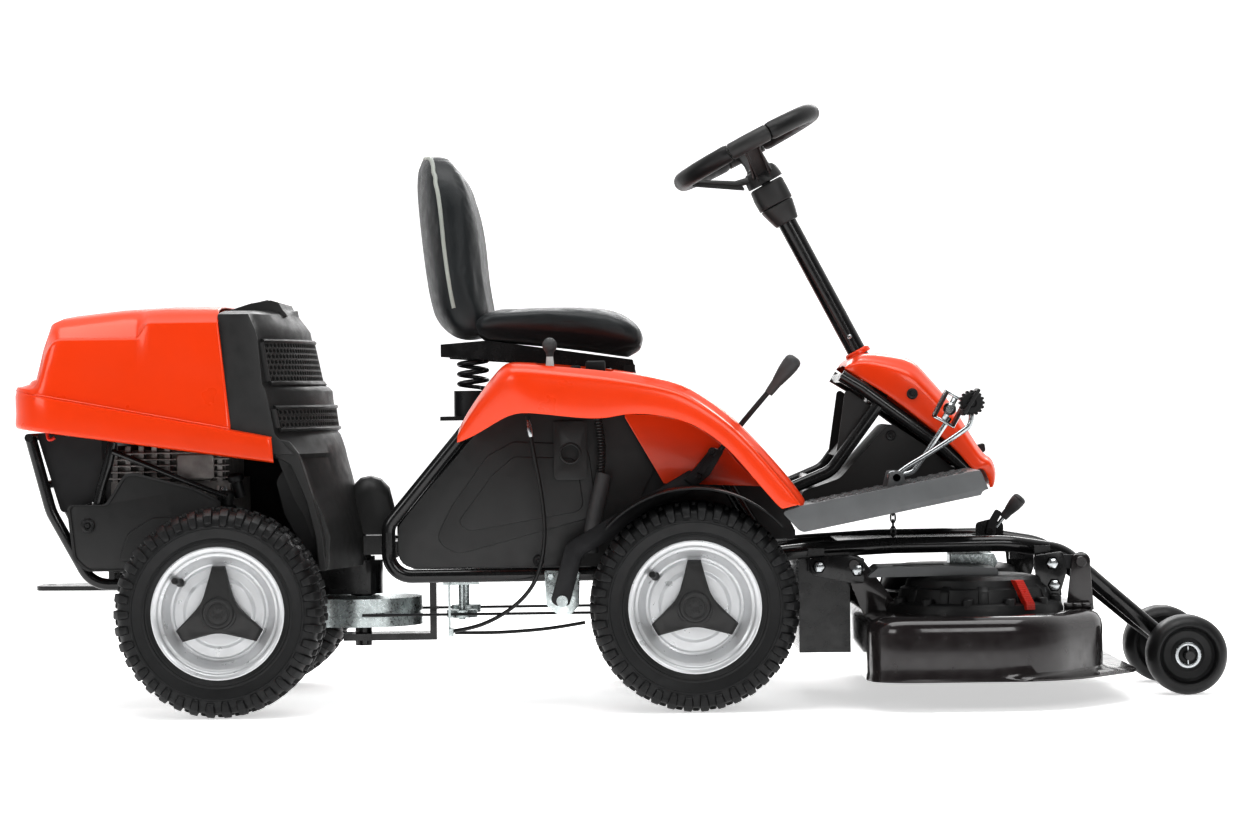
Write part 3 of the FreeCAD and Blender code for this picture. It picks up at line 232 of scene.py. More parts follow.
FINISH = {
    "black_tube": material("black_tube", (0.008, 0.008, 0.0085), 0.24, coat=0.4, wave=0.02, wave_size=12),
    "dark_plastic": material("dark_plastic", (0.030, 0.030, 0.030), 0.42, grain=0.35, grain_size=1.0, tone=0.06),
    "black_plastic": material("black_plastic", (0.009, 0.009, 0.0095), 0.42, grain=0.3, grain_size=0.9),
    "orange_shell": material("orange_shell", (0.80, 0.062, 0.003), 0.3, coat=0.35, tone=0.03, tone_size=220,
                             rough_spread=0.03, wave=0.06, wave_size=14),
    "spring_steel": material("spring_steel", (0.02, 0.02, 0.022), 0.35, coat=0.3),
    "zinc_plate": material("zinc_plate", (0.62, 0.67, 0.67), 0.3, metal=0.9, tone=0.16, tone_size=14,
                           rough_spread=0.1, grain=0.08, grain_size=1.6),
    "grey_paint": material("grey_paint", (0.14, 0.145, 0.148), 0.42, grain=0.2, grain_size=0.9, coat=0.15),
    "cable_rubber": material("cable_rubber", (0.018, 0.018, 0.018), 0.38, grain=0.1),
    "cast_alloy": material("cast_alloy", (0.34, 0.32, 0.31), 0.5, metal=0.75, tone=0.22, tone_size=24,
                           grain=0.5, grain_size=1.8),
    "dark_steel": material("dark_steel", (0.03, 0.03, 0.032), 0.4, metal=0.4, tone=0.15, tone_size=20, grain=0.12),
    "grey_plastic": material("grey_plastic", (0.06, 0.06, 0.061), 0.5, grain=0.3, grain_size=0.8),
    "bright_steel": material("bright_steel", (0.50, 0.52, 0.53), 0.22, metal=0.95, tone=0.1, tone_size=10),
    "seat_vinyl": material("seat_vinyl", (0.010, 0.013, 0.0145), 0.38, grain=0.45, grain_size=1.3, cells=True,
                           wave=0.25, wave_size=30, sheen=0.05),
    "deck_paint": material("deck_paint", (0.021, 0.017, 0.0175), 0.2, coat=0.6, wave=0.02, wave_size=20, tone=0.04),
    "belt_rubber": material("belt_rubber", (0.03, 0.03, 0.03), 0.7, grain=0.4, grain_size=0.7),
    "tyre_rubber": material("tyre_rubber", (0.007, 0.0073, 0.0078), 0.48, grain=0.4, grain_size=1.1, tone=0.2),
    "silver_rim": material("silver_rim", (0.66, 0.67, 0.68), 0.34, metal=0.45, coat=0.2, tone=0.05),
}
PIPING = material("seat_piping", (0.36, 0.38, 0.35), 0.5, grain=0.3, grain_size=1.0)
WHITE = material("white_plastic", (0.75, 0.75, 0.74), 0.4, grain=0.1)
RED = material("red_plastic", (0.62, 0.03, 0.012), 0.35, tone=0.05)
GRILLE = material("grille_plastic", (0.055, 0.055, 0.054), 0.42, grain=0.2)
# A near-black finish that paints shade: it goes on sheets behind the grille mesh, the front wheels and the engine,
# where there is only shade.
SHADE_BLACK = material("painted_shade_black", (0.012, 0.012, 0.013), 0.5, grain=0.2)

# ---------------------------------------------------------------- making pieces


def smooth(obj, degrees=32):
    """Smooth shading with sharp edges where faces meet at more than an angle."""
    obj.data.polygons.foreach_set("use_smooth", [True] * len(obj.data.polygons))
    obj.data.set_sharp_from_angle(angle=math.radians(degrees))
    return obj


def solid(name, verts, faces, degrees=32):
    """Mesh object from points in millimetres, its faces turned outwards."""
    mesh = bpy.data.meshes.new(name)
    mesh.from_pydata([tuple(c * MM for c in v) for v in verts], [], faces)
    shell = bmesh.new()
    shell.from_mesh(mesh)
    bmesh.ops.remove_doubles(shell, verts=shell.verts, dist=1e-6)
    bmesh.ops.recalc_face_normals(shell, faces=shell.faces)
    shell.to_mesh(mesh)
    shell.free()
    obj = bpy.data.objects.new(name, mesh)
    SCENE.collection.objects.link(obj)
    return smooth(obj, degrees)


def soften(obj, width=1.5, segments=3, degrees=30):
    """Rounded edges."""
    bevel = obj.modifiers.new("rounding", "BEVEL")
    bevel.width = width * MM
    bevel.segments = segments
    bevel.limit_method = "ANGLE"
    bevel.angle_limit = math.radians(degrees)
    bevel.harden_normals = False
    return obj


def subdivide(obj, levels=2):
    """Subdivision surface."""
    surface = obj.modifiers.new("surface", "SUBSURF")
    surface.levels = surface.render_levels = levels
    obj.data.set_sharp_from_angle(angle=math.pi)
    return obj


def apply_modifiers(obj):
    """Turn an object's modifiers into its mesh."""
    graph = bpy.context.evaluated_depsgraph_get()
    mesh = bpy.data.meshes.new_from_object(obj.evaluated_get(graph))
    obj.modifiers.clear()
    obj.data = mesh
    return obj


def cut(obj, *tools):
    """Take tool objects out of a piece and delete them."""
    for tool in tools:
        boolean = obj.modifiers.new("cut", "BOOLEAN")
        boolean.operation = "DIFFERENCE"
        boolean.solver = "EXACT"
        boolean.object = tool
        bpy.context.view_layer.update()
        apply_modifiers(obj)
        bpy.data.objects.remove(tool)
    return smooth(obj)


def rounded(points, per_corner=6):
    """Closed outline with its corners rounded: points are (across, up) or (across, up, radius)."""
    outline = []
    count = len(points)
    for index, point in enumerate(points):
        here = Vector(point[:2])
        radius = point[2] if len(point) > 2 else 0
        back = Vector(points[index - 1][:2]) - here
        ahead = Vector(points[(index + 1) % count][:2]) - here
        half = back.angle(ahead) / 2
        reach = min(radius / max(math.tan(half), 1e-6), back.length * 0.49, ahead.length * 0.49)
        if radius == 0 or math.pi / 2 - half < 0.02:
            outline.append(here)
            continue
        start, end = here + back.normalized() * reach, here + ahead.normalized() * reach
        for step in range(per_corner + 1):
            t = step / per_corner
            outline.append(start * (1 - t) ** 2 + here * 2 * t * (1 - t) + end * t ** 2)
    return outline


def prism(name, outline, low, high, plane="xz", degrees=32):
    """Rounded outline extruded between two levels along the third direction."""
    place = {"xz": lambda p, w: (p[0], w, p[1]), "xy": lambda p, w: (p[0], p[1], w),
             "yz": lambda p, w: (w, p[0], p[1])}[plane]
    ring = rounded(outline)
    count = len(ring)
    verts = [place(p, low) for p in ring] + [place(p, high) for p in ring]
    faces = [tuple(range(count)), tuple(range(2 * count - 1, count - 1, -1))]
    faces += [(k, (k + 1) % count, count + (k + 1) % count, count + k) for k in range(count)]
    return solid(name, verts, faces, degrees)


def loft(name, rings, caps=True, closed=True, degrees=32):
    """Skin over rings that have the same number of points each."""
    count = len(rings[0])
    verts = [p for ring in rings for p in ring]
    span = count if closed else count - 1
    faces = [(i * count + k, i * count + (k + 1) % count, (i + 1) * count + (k + 1) % count, (i + 1) * count + k)
             for i in range(len(rings) - 1) for k in range(span)]
    if caps:
        faces += [tuple(range(count)), tuple(range((len(rings) - 1) * count, len(rings) * count))]
    return solid(name, verts, faces, degrees)


def frame_of(axis):
    """Two directions square to an axis."""
    axis = Vector(axis).normalized()
    helper = Vector((0, 0, 1)) if abs(axis.z) < 0.9 else Vector((1, 0, 0))
    across = axis.cross(helper).normalized()
    return axis, across, axis.cross(across).normalized()


def lathe(name, profile, centre, axis=(0, 0, 1), steps=64, closed=True, degrees=32):
    """Turned piece: (radius, along) profile round an axis through a point."""
    axis, across, up = frame_of(axis)
    centre = Vector(centre)
    rings = []
    for k in range(steps):
        turn = 2 * math.pi * k / steps
        reach = across * math.cos(turn) + up * math.sin(turn)
        rings.append([centre + reach * radius + axis * along for radius, along in profile])
    rings.append(rings[0])
    return loft(name, rings, caps=False, closed=closed, degrees=degrees)


def tube(name, points, radius, resolution=14):
    """Round bar or cable along a smooth curve through control points in millimetres."""
    data = bpy.data.curves.new(name, "CURVE")
    data.dimensions = "3D"
    data.bevel_depth = radius * MM
    data.bevel_resolution = 5
    data.resolution_u = resolution
    data.use_fill_caps = True
    spline = data.splines.new("NURBS")
    spline.points.add(len(points) - 1)
    for point, place in zip(spline.points, points):
        point.co = tuple(c * MM for c in place) + (1,)
    spline.order_u = 3
    spline.use_endpoint_u = True
    obj = bpy.data.objects.new(name, data)
    SCENE.collection.objects.link(obj)
    return obj


def merge(name, pieces):
    """One object from several mesh objects."""
    for piece in pieces:
        if piece.modifiers:
            apply_modifiers(piece)
    merged = bmesh.new()
    for piece in pieces:
        merged.from_mesh(piece.data)
        bpy.data.objects.remove(piece)
    mesh = bpy.data.meshes.new(name)
    merged.to_mesh(mesh)
    merged.free()
    obj = bpy.data.objects.new(name, mesh)
    SCENE.collection.objects.link(obj)
    return smooth(obj)


def flipped(obj, name):
    """Copy of a mesh object on the other side of the machine."""
    if obj.modifiers:
        apply_modifiers(obj)
    mesh = obj.data.copy()
    mesh.transform(Matrix.Scale(-1, 4, (0, 1, 0)))
    mesh.flip_normals()
    other = bpy.data.objects.new(name, mesh)
    SCENE.collection.objects.link(other)
    return smooth(other)


def fit(piece, body, slot, *replaced, finish=None):
    """Give a piece its finish, its body and the CAD nodes it stands for."""
    piece.data.materials.clear()
    piece.data.materials.append(finish or FINISH[slot])
    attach(piece, body)
    if replaced:
        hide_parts(*replaced)
    return piece


def screws(name, body, places, axis, radius=7, height=4, slot="dark_steel"):
    """Domed screws with a socket, on washers."""
    profile = [(0.01, height * 0.35), (radius * 0.45, height * 0.35), (radius * 0.5, height * 0.9),
               (radius * 0.62, height), (radius * 0.9, height * 0.7), (radius, height * 0.25),
               (radius * 1.25, height * 0.2), (radius * 1.3, 0), (0.01, 0)]
    made = [lathe(f"{name}_{k}", profile, place, axis, 20) for k, place in enumerate(places)]
    return fit(merge(name, made), body, slot)


for node, obj in frame["nodes"].items():
    slot_name = next(s["material_slot"] for s in frame["record"]["subparts"] if s["node"] == node)
    obj.data.materials.clear()
    obj.data.materials.append(FINISH[slot_name])

# ---------------------------------------------------------------- road wheels

TYRE_RADIUS = (node_box("front_right_tyre")[1].z - node_box("front_right_tyre")[0].z) / 2
TYRE_HALF = (node_box("front_right_tyre")[1].y - node_box("front_right_tyre")[0].y) / 2
RIM_RADIUS = 115


def lug(path, base, pitch, half_widths, centre, side):
    """One tread lug: its outer and inner lines as (radius, across) lists, its half width along each."""
    rings = []
    for (radius, across), (low_radius, low_across), half in zip(path, base, half_widths):
        ring = []
        for r, a, h in ((low_radius, low_across, half * 1.15), (radius, across, half * 0.86),
                        (radius, across, -half * 0.86), (low_radius, low_across, -half * 1.15)):
            turn = pitch + h / r
            ring.append((centre.x + r * math.cos(turn), centre.y + side * a, centre.z + r * math.sin(turn)))
        rings.append(ring)
    return rings


def tyre(wheel, end_side):
    """Carcass with moulded sidewall ribs, shoulder lugs and two rows of centre blocks."""
    centre = node_centre(wheel + "_tyre")
    top = TYRE_RADIUS
    half = TYRE_HALF
    side_wall = [(RIM_RADIUS - 9, 50), (RIM_RADIUS - 4, 60), (RIM_RADIUS + 1, 63), (RIM_RADIUS + 5, 66),
                 (RIM_RADIUS + 8, 66), (RIM_RADIUS + 9, 67.5), (RIM_RADIUS + 12, 67.5), (RIM_RADIUS + 13, 67),
                 (RIM_RADIUS + 22, 70.5), (RIM_RADIUS + 29, 72.5), (RIM_RADIUS + 30, 74), (RIM_RADIUS + 33, 74),
                 (RIM_RADIUS + 34, 73), (RIM_RADIUS + 42, 71.5), (top - 16, 68), (top - 10, 60), (top - 7, 48),
                 (top - 6, 24), (top - 6, 0)]
    profile = side_wall + [(r, -a) for r, a in reversed(side_wall[:-1])]
    profile = [(r, a) for r, a in profile]
    pieces = [lathe(wheel + "_carcass", profile + [(RIM_RADIUS - 13, -40), (RIM_RADIUS - 13, 40)], centre,
                    (0, 1, 0), 96)]
    shoulder = [(top - 0.2, 36), (top - 0.6, 50), (top - 4, 64), (top - 12, half - 3), (top - 24, half - 0.8),
                (top - 29, half - 1.5)]
    shoulder_base = [(top - 8, 34), (top - 9, 48), (top - 12, 60), (top - 19, 67), (top - 29, 71), (top - 32, 72)]
    widths = [5.5, 7.2, 8.0, 7.6, 6.2, 3.4]
    count = 38
    rings_to_solid = []
    for side in SIDES.values():
        for k in range(count):
            pitch = 2 * math.pi * (k + (0.5 if side == LEFT else 0)) / count
            if k % 2:
                rings_to_solid.append(lug(shoulder, shoulder_base, pitch, widths, centre, side))
            else:
                rings_to_solid.append(lug(shoulder[:-1], shoulder_base[:-1], pitch, widths[:-1], centre, side))
            block = [(top, 6), (top, 12), (top, 22), (top - 0.2, 28)]
            block_base = [(top - 8, 4), (top - 8, 12), (top - 8, 22), (top - 8, 30)]
            offset = pitch + math.pi / count
            rings_to_solid.append(lug(block, block_base, offset, [3.4, 6.6, 6.6, 3.4], centre, side))
    verts, faces = [], []
    for rings in rings_to_solid:
        start = len(verts)
        for ring in rings:
            verts += ring
        for i in range(len(rings) - 1):
            low = start + 4 * i
            faces += [(low + k, low + (k + 1) % 4, low + 4 + (k + 1) % 4, low + 4 + k) for k in range(4)]
        faces += [(start, start + 1, start + 2, start + 3), tuple(len(verts) - 4 + k for k in (3, 2, 1, 0))]
    tread = soften(solid(wheel + "_tread", verts, faces, 40), 1.1, 2, 35)
    pieces.append(tread)
    return fit(merge(wheel + "_tyre_body", pieces), wheel + "_wheel", "tyre_rubber", wheel + "_tyre")


def rim(wheel, out):
    """Pressed steel rim: flange, bright band, groove, dished disc and inner barrel."""
    centre = node_centre(wheel + "_tyre")
    low, high = node_box(wheel + "_rim")
    face = 62
    profile = [(12.6, 36), (56, 36), (59, 34), (62, 31.5), (76, 31), (80, 28), (84, 29), (88, 36), (93, 45),
               (97, 50.5), (100, 52), (102.5, 54), (104, 58), (107, 60.5), (111, face), (114, face - 0.6),
               (RIM_RADIUS, face - 3), (114, face - 5.5), (109, 55), (104, 52), (100, 44), (97, 28), (97, -48),
               (103, -56), (114, -59), (RIM_RADIUS, -61.5), (112, -63.5), (103, -62), (93, -50), (93, 22),
               (84, 24), (74, 27), (30, 27), (30, -37), (12.6, -37)]
    body = lathe(wheel + "_rim_body", [(r, a * out) for r, a in profile], centre, (0, 1, 0), 96)
    return fit(soften(body, 0.7, 2, 25), wheel + "_wheel", "silver_rim", wheel + "_rim")


def hub_cap(wheel, out):
    """Dark three-armed cap with a raised plain boss, and the valve stem in the groove."""
    centre = node_centre(wheel + "_tyre")
    outline, inner = [], []
    hub, reach = 31, 80
    for arm in range(3):
        middle = math.radians(90 + 120 * arm)
        for turn, radius in ((-52, hub + 4), (-40, hub + 7), (-25, 48), (-13, 66), (-8, reach), (8, reach),
                             (13, 66), (25, 48), (40, hub + 7), (52, hub + 4)):
            angle = middle + math.radians(turn)
            outline.append((radius * math.cos(angle), radius * math.sin(angle)))
    face, back = 56, 30

    def ring(scale_out, across, shrink):
        points = []
        for x, z in outline:
            radius = math.hypot(x, z)
            new = radius - shrink
            points.append((centre.x + x / radius * new * scale_out, centre.y + out * across,
                           centre.z + z / radius * new * scale_out))
        return points

    def drooped(points, drop):
        result = []
        for x, y, z in points:
            radius = math.hypot(x - centre.x, z - centre.z)
            lower = drop * max(0.0, (radius - hub - 8) / (reach - hub - 8)) ** 1.2
            result.append((x, y - out * lower, z))
        return result

    arms = loft(wheel + "_cap_arms", [ring(1, back, 0), drooped(ring(1, face - 6, 0), 14),
                                      drooped(ring(1, face - 3, 3), 14), drooped(ring(1, face - 2.5, 6), 14)])
    soften(arms, 1.6, 3, 28)
    boss = lathe(wheel + "_cap_boss", [(0.01, face + 2), (16, face + 2), (17, face + 0.8), (19, face + 0.8),
                                       (20, face + 2.2), (24, face + 2.2), (25.5, face + 1.4), (27, face - 2.5),
                                       (hub, face - 4), (hub + 1, face - 10), (0.01, face - 10)],
                 centre, (0, out, 0), 48)
    boss = soften(boss, 0.6, 2, 25)
    petals = []
    for k in range(6):
        turn = math.radians(60 * k)
        spot = centre + Vector((9.5 * math.cos(turn), out * (face + 1), 9.5 * math.sin(turn)))
        petals.append(lathe(f"{wheel}_cap_dot_{k}", [(0.01, 1.8), (2.6, 1.8), (3.2, 1.2), (3.4, 0), (0.01, 0)],
                            spot, (0, out, 0), 16))
    fit(merge(wheel + "_cap", [arms, boss] + petals), wheel + "_wheel", "dark_plastic")
    turn = math.radians(142)
    direction = Vector((math.cos(turn), 0, math.sin(turn)))
    foot = centre + direction * 84 + Vector((0, out * 30, 0))
    axis = (direction * 0.25 + Vector((0, out, 0)) * 1.0).normalized()
    stem = lathe(wheel + "_valve", [(0.01, 0), (7.2, 0), (7.6, 3), (5.4, 8), (4.6, 20), (5.6, 21), (5.8, 31),
                                    (4.4, 34), (0.01, 34)], foot, axis, 24)
    fit(stem, wheel + "_wheel", "cable_rubber")


def road_wheels():
    """Tyre, rim and cap of all four wheels."""
    for end in ("front", "rear"):
        for name, side in SIDES.items():
            wheel = f"{end}_{name}"
            tyre(wheel, side)
            rim(wheel, side)
            hub_cap(wheel, side)


def support_wheels():
    """Barrel-shaped front rollers with a dished face and a silver retaining ring."""
    for name, side in SIDES.items():
        node = f"support_wheel_{name}"
        low, high = node_box(node)
        centre = (low + high) / 2
        radius, half = (high.z - low.z) / 2, (high.y - low.y) / 2
        profile = [(8.1, 17), (26, 17), (30, 15), (42, 17), (47, 22), (50, half - 3), (53, half), (57, half - 0.5),
                   (63, half - 5), (67.5, half - 13), (radius, 18), (radius, 0)]
        profile = profile + [(r, -a) for r, a in reversed(profile[:-1])]
        barrel = lathe(node + "_barrel", profile, centre, (0, 1, 0), 72)
        fit(soften(barrel, 1.0, 3, 25), f"support_{name}", "black_plastic", node)
        ring = lathe(node + "_ring", [(15.5, 0), (23, 0), (24, 1), (24, 5), (22.5, 6.4), (17, 6.4), (15.5, 5)],
                     centre + Vector((0, side * 17, 0)), (0, side, 0), 40)
        slit = prism(node + "_slit", [(centre.x - 1.1, centre.z - 15.6), (centre.x + 1.1, centre.z - 15.6),
                                      (centre.x + 1.1, centre.z + 15.6), (centre.x - 1.1, centre.z + 15.6)],
                     centre.y + side * 19, centre.y + side * 21.5)
        fit(merge(node + "_retainer", [soften(ring, 0.5, 2), slit]), f"support_{name}", "bright_steel")


road_wheels()
support_wheels()

# ---------------------------------------------------------------- hood


def plan_path(half, tail_x, front_x, radius, count=16):
    """Half plan outline of the tail: from the front end of the flank round the corner to the middle."""
    radius = max(radius, 2)
    half = max(half, 3)
    points = [Vector((front_x + (tail_x + radius - front_x) * k / 44, -half)) for k in range(44)]
    for k in range(count + 1):
        turn = math.radians(90 * k / count)
        points.append(Vector((tail_x + radius - radius * math.sin(turn), -half + radius - radius * math.cos(turn))))
    points += [Vector((tail_x, (-half + radius) * (1 - k / 10))) for k in range(1, 11)]
    return points


def hood_lower(x):
    """Height of the hood's lower edge."""
    return 494 + (x + 1033) / 433 * (431 - 494)


def hood_crease(x):
    """Height of the crease over the skirt."""
    return 552 + (x + 1008) / 334 * (489 - 552)


def hood_edge(x):
    """Height of the raised side panel's top edge: low at the tail, a short ramp, then high."""
    ramp = min(max((x + 842) / 26, 0), 1)
    tail = min(max((-965 - x) / 45, 0), 1)
    return 650 + 28 * ramp * ramp * (3 - 2 * ramp) - 70 * tail ** 3


def hood_top(x):
    """Height of the top line."""
    line = [(-1062, 655), (-1010, 681), (-985, 690), (-937, 695), (-870, 702), (-786, 706), (-690, 705)]
    for (x0, z0), (x1, z1) in zip(line, line[1:]):
        if x <= x1:
            return z0 + (z1 - z0) * max((x - x0) / (x1 - x0), 0)
    return line[-1][1]


def mirrored_ring(ring):
    """A half ring and its mirror image, joined at the middle."""
    return ring + [(x, -y, z) for x, y, z in reversed(ring[:-1])]


def hood():
    """Orange hood: rounded tail, crowned top, raised side panels and a skirt below a crease."""
    low, high = node_box("hood")
    half, tail = high.y, low.x + 2
    seam = -676
    corner = 74
    levels = []
    for inset, back, place in ((9, 1, lambda x: hood_crease(x) + 1), (12, 2, lambda x: hood_crease(x) + 3),
                               (13.5, 4, lambda x: hood_crease(x) + 8),
                               (16, 13, lambda x: (hood_crease(x) + hood_edge(x)) / 2),
                               (19, 25, lambda x: hood_edge(x) - 7), (20.5, 28, lambda x: hood_edge(x) - 2.5),
                               (24, 32, lambda x: hood_edge(x)), (30, 37, lambda x: hood_edge(x) + 1.6),
                               (44, 48, lambda x: hood_edge(x) + (hood_top(x) - hood_edge(x)) * 0.42),
                               (62, 64, lambda x: hood_edge(x) + (hood_top(x) - hood_edge(x)) * 0.78),
                               (84, 84, lambda x: hood_top(x) - 4), (110, 104, lambda x: hood_top(x) - 1),
                               (160, 124, lambda x: hood_top(x) + 1)):
        ring = []
        for p in plan_path(half - inset, tail + back, seam, corner - inset):
            x = p.x
            z = place(x)
            if x > seam - 40:
                lean = -(z - 489) * 0.112
                x = x + lean * min((x - seam + 40) / 40, 1)
            ring.append((x, p.y, z))
        levels.append(mirrored_ring(ring))
    shell = loft("hood_shell", levels, caps=False, closed=False, degrees=26)
    inner = levels[-1][:len(levels[-1]) // 2 + 1]
    crown = loft("hood_crown", [inner, [(x, y / 2, z + 1) for x, y, z in inner], [(x, 0, z + 1.5) for x, y, z in inner],
                                [(x, -y / 2, z + 1) for x, y, z in inner], [(x, -y, z) for x, y, z in inner]],
                 caps=False, closed=False, degrees=26)
    rings = []
    for inset, place in ((3, lambda x: hood_lower(x)), (0.5, lambda x: hood_lower(x) + 3),
                         (0, lambda x: hood_lower(x) + 8), (1, lambda x: hood_lower(x) + 24),
                         (0.5, lambda x: hood_crease(x) - 8), (3, lambda x: hood_crease(x) - 1.5),
                         (12, lambda x: hood_crease(x) + 1), (17, lambda x: hood_crease(x) + 1)):
        ring = []
        for p in plan_path(half - inset, tail + min(inset, 2), -602, corner - inset):
            z = place(p.x)
            ring.append((p.x - max(0, p.x + 640) * 0.12 * (z - 431) / 60, p.y, z))
        rings.append(mirrored_ring(ring))
    skirt = loft("hood_skirt", rings, caps=False, closed=False, degrees=26)
    whole = merge("hood_panel", [shell, crown, skirt])
    welded = bmesh.new()
    welded.from_mesh(whole.data)
    bmesh.ops.remove_doubles(welded, verts=welded.verts, dist=0.0002)
    bmesh.ops.recalc_face_normals(welded, faces=welded.faces)
    welded.to_mesh(whole.data)
    welded.free()
    skin = whole.modifiers.new("skin", "SOLIDIFY")
    skin.thickness = 3 * MM
    skin.offset = -1
    return fit(whole, "hood", "orange_shell", "hood")


hood()

# ---------------------------------------------------------------- front cover of the engine bay


def cover_line(z):
    """Front face of the cover on the centre plane: X at a height, with its ledges."""
    line = [(-467, 298), (-489, 398), (-500, 440), (-503, 455), (-511, 478), (-515, 482), (-522, 533), (-524, 556),
            (-530, 562), (-543, 568), (-555, 625), (-560, 646), (-563, 662), (-579, 684), (-592, 700)]
    for (x0, z0), (x1, z1) in zip(line, line[1:]):
        if z <= z1:
            return x0 + (x1 - x0) * max((z - z0) / (z1 - z0), 0)
    return line[-1][0]


def flank_line(z):
    """Front edge of the cover's flat flank: X at a height."""
    line = [(-514, 240), (-508, 313), (-535, 365), (-561, 440), (-592, 470), (-600, 482), (-611, 537), (-617, 561),
            (-621, 568), (-628, 642), (-632, 660), (-645, 690)]
    for (x0, z0), (x1, z1) in zip(line, line[1:]):
        if z <= z1:
            return x0 + (x1 - x0) * max((z - z0) / (z1 - z0), 0)
    return line[-1][0]


def cover_half(z):
    """Half width of the cover at a height."""
    return 265 - max(0, z - 520) * 0.10 if z > 440 else 232 - (440 - z) * 0.05


def cover_face(y, z, lift=0.0):
    """Point on the swept front face, lifted off it by a distance."""
    half = cover_half(z) - 7
    share = min(abs(y) / half, 1.0)
    front, edge = cover_line(z), flank_line(z)
    x = front + (edge - front) * share ** 2.1
    slope = 2.1 * (front - edge) / half * share ** 1.1 * (1 if y > 0 else -1)
    normal = Vector((1, slope, 0.15)).normalized()
    return Vector((x, y, z)) + normal * lift


def front_cover():
    """Dark plastic cover: swept front with ledges, flat flanks, foot and a cap on top."""
    levels = [243, 270, 300, 335, 365, 400, 438, 446, 462, 477, 482, 486, 531, 537, 555, 561, 564, 568, 600, 642, 650,
              662, 676, 690]
    rows = []
    for z in levels:
        half = cover_half(z)
        edge = flank_line(z)
        rear = -676 - (z - 489) * 0.112 if z >= 446 else edge - 30 - (z - 243) * 0.05
        ring = [(rear, -half, z), ((rear + edge) / 2, -half, z), (edge - 4, -half, z), (edge - 1, -half + 1, z)]
        ring += [tuple(cover_face(-(half - 7) * (1 - k / 16), z)) for k in range(17)]
        rows.append(mirrored_ring(ring))
    lid = []
    for share in (0.9, 0.6, 0.25, 0.0):
        lid.append([(x, y * share, 690 + 11 * (1 - share ** 3)) for x, y, z in rows[-1]])
    shell = loft("cover_shell", rows + lid, caps=False, closed=False, degrees=16)
    skin = shell.modifiers.new("skin", "SOLIDIFY")
    skin.thickness = 4 * MM
    skin.offset = -1
    cap = prism("cover_cap", [(-693, 700, 6), (-655, 712, 8), (-620, 717, 3), (-606, 713, 3), (-601, 703, 3),
                              (-588, 686, 4), (-620, 690), (-693, 694)], -120, 120)
    vent = prism("cover_vent", [(-668, 706, 2), (-628, 714.5, 2), (-628, 719, 2), (-668, 710, 2)], -86, 86)
    soften(cap, 3, 3)
    soften(vent, 1, 2)
    fit(merge("front_cover_shell", [shell, cap, vent]), "rear_section", "dark_plastic", "front_cover")


def grille(name, low_z, high_z, half, pitch):
    """Bent panel of hexagonal mesh on the cover's swept face, over a near-black sheet of painted shade for its
    openings, in a raised border.
    """
    verts, faces = [], []
    rows = int((high_z - low_z) / (pitch * 0.866))
    columns = int(2 * half / pitch)
    for row in range(rows):
        for column in range(columns + 1):
            y = -half + pitch * (column + 0.5 * (row % 2))
            z = low_z + (row + 0.5) * (high_z - low_z) / rows
            if abs(y) > half - pitch * 0.3:
                continue
            start = len(verts)
            for size, lift in ((0.60, 1.2), (0.60, 3.4), (0.40, 3.0), (0.40, 0.6)):
                for k in range(6):
                    turn = math.radians(60 * k + 30)
                    verts.append(cover_face(y + pitch * size * math.cos(turn), z + pitch * size * math.sin(turn), lift))
            for ring in range(3):
                for k in range(6):
                    a, b = start + 6 * ring + k, start + 6 * ring + (k + 1) % 6
                    faces.append((a, b, b + 6, a + 6))
    panel = solid(name + "_mesh", verts, faces, 20)
    fit(panel, "rear_section", "black_plastic", finish=GRILLE)
    # This near-black sheet paints the shade seen through the grille's openings.
    opening_shade = [[cover_face(-half + 2 * half * k / 24, z, 0.5) for z in (low_z, (low_z + high_z) / 2, high_z)]
               for k in range(25)]
    fit(loft(name + "_backing", opening_shade, caps=False, closed=False), "rear_section", "black_plastic", finish=SHADE_BLACK)
    frame_pieces = []
    corners = [(-half, low_z), (half, low_z), (half, high_z), (-half, high_z)]
    for k in range(4):
        (y0, z0), (y1, z1) = corners[k], corners[(k + 1) % 4]
        steps = 24 if k % 2 == 0 else 6
        sections = []
        for j in range(steps + 1):
            y, z = y0 + (y1 - y0) * j / steps, z0 + (z1 - z0) * j / steps
            out_y, out_z = ((0, 1) if k % 2 == 0 else (1, 0))
            way = -1 if k in (0, 3) else 1
            sections.append([cover_face(y + out_y * a * way, z + out_z * a * way, lift)
                             for a, lift in ((-0.5, 0), (-0.5, 5.5), (2.5, 7), (5.5, 5.5), (7, 0))])
        frame_pieces.append(loft(f"{name}_side_{k}", sections, caps=True))
    fit(merge(name + "_border", frame_pieces), "rear_section", "dark_plastic")


front_cover()
grille("grille_upper", 572, 640, 240, 10.5)
grille("grille_lower", 491, 524, 250, 10.5)

# ---------------------------------------------------------------- fenders and floor


FENDER_TOP = [(-284, 478), (-262, 520), (-205, 592), (-188, 597), (-145, 594), (-80, 589), (-20, 583), (30, 574),
              (82, 563), (116, 551), (153, 526), (191, 496), (219, 467), (247, 436), (276, 402), (290, 384),
              (312, 354)]
FENDER_LOW = [(-284, 460), (-240, 478), (-190, 512), (-152, 511), (-110, 506), (-60, 500), (-24, 500), (8, 508),
              (40, 507), (72, 503), (105, 495), (139, 478), (176, 449), (195, 427), (214, 405), (246, 366),
              (268, 342)]


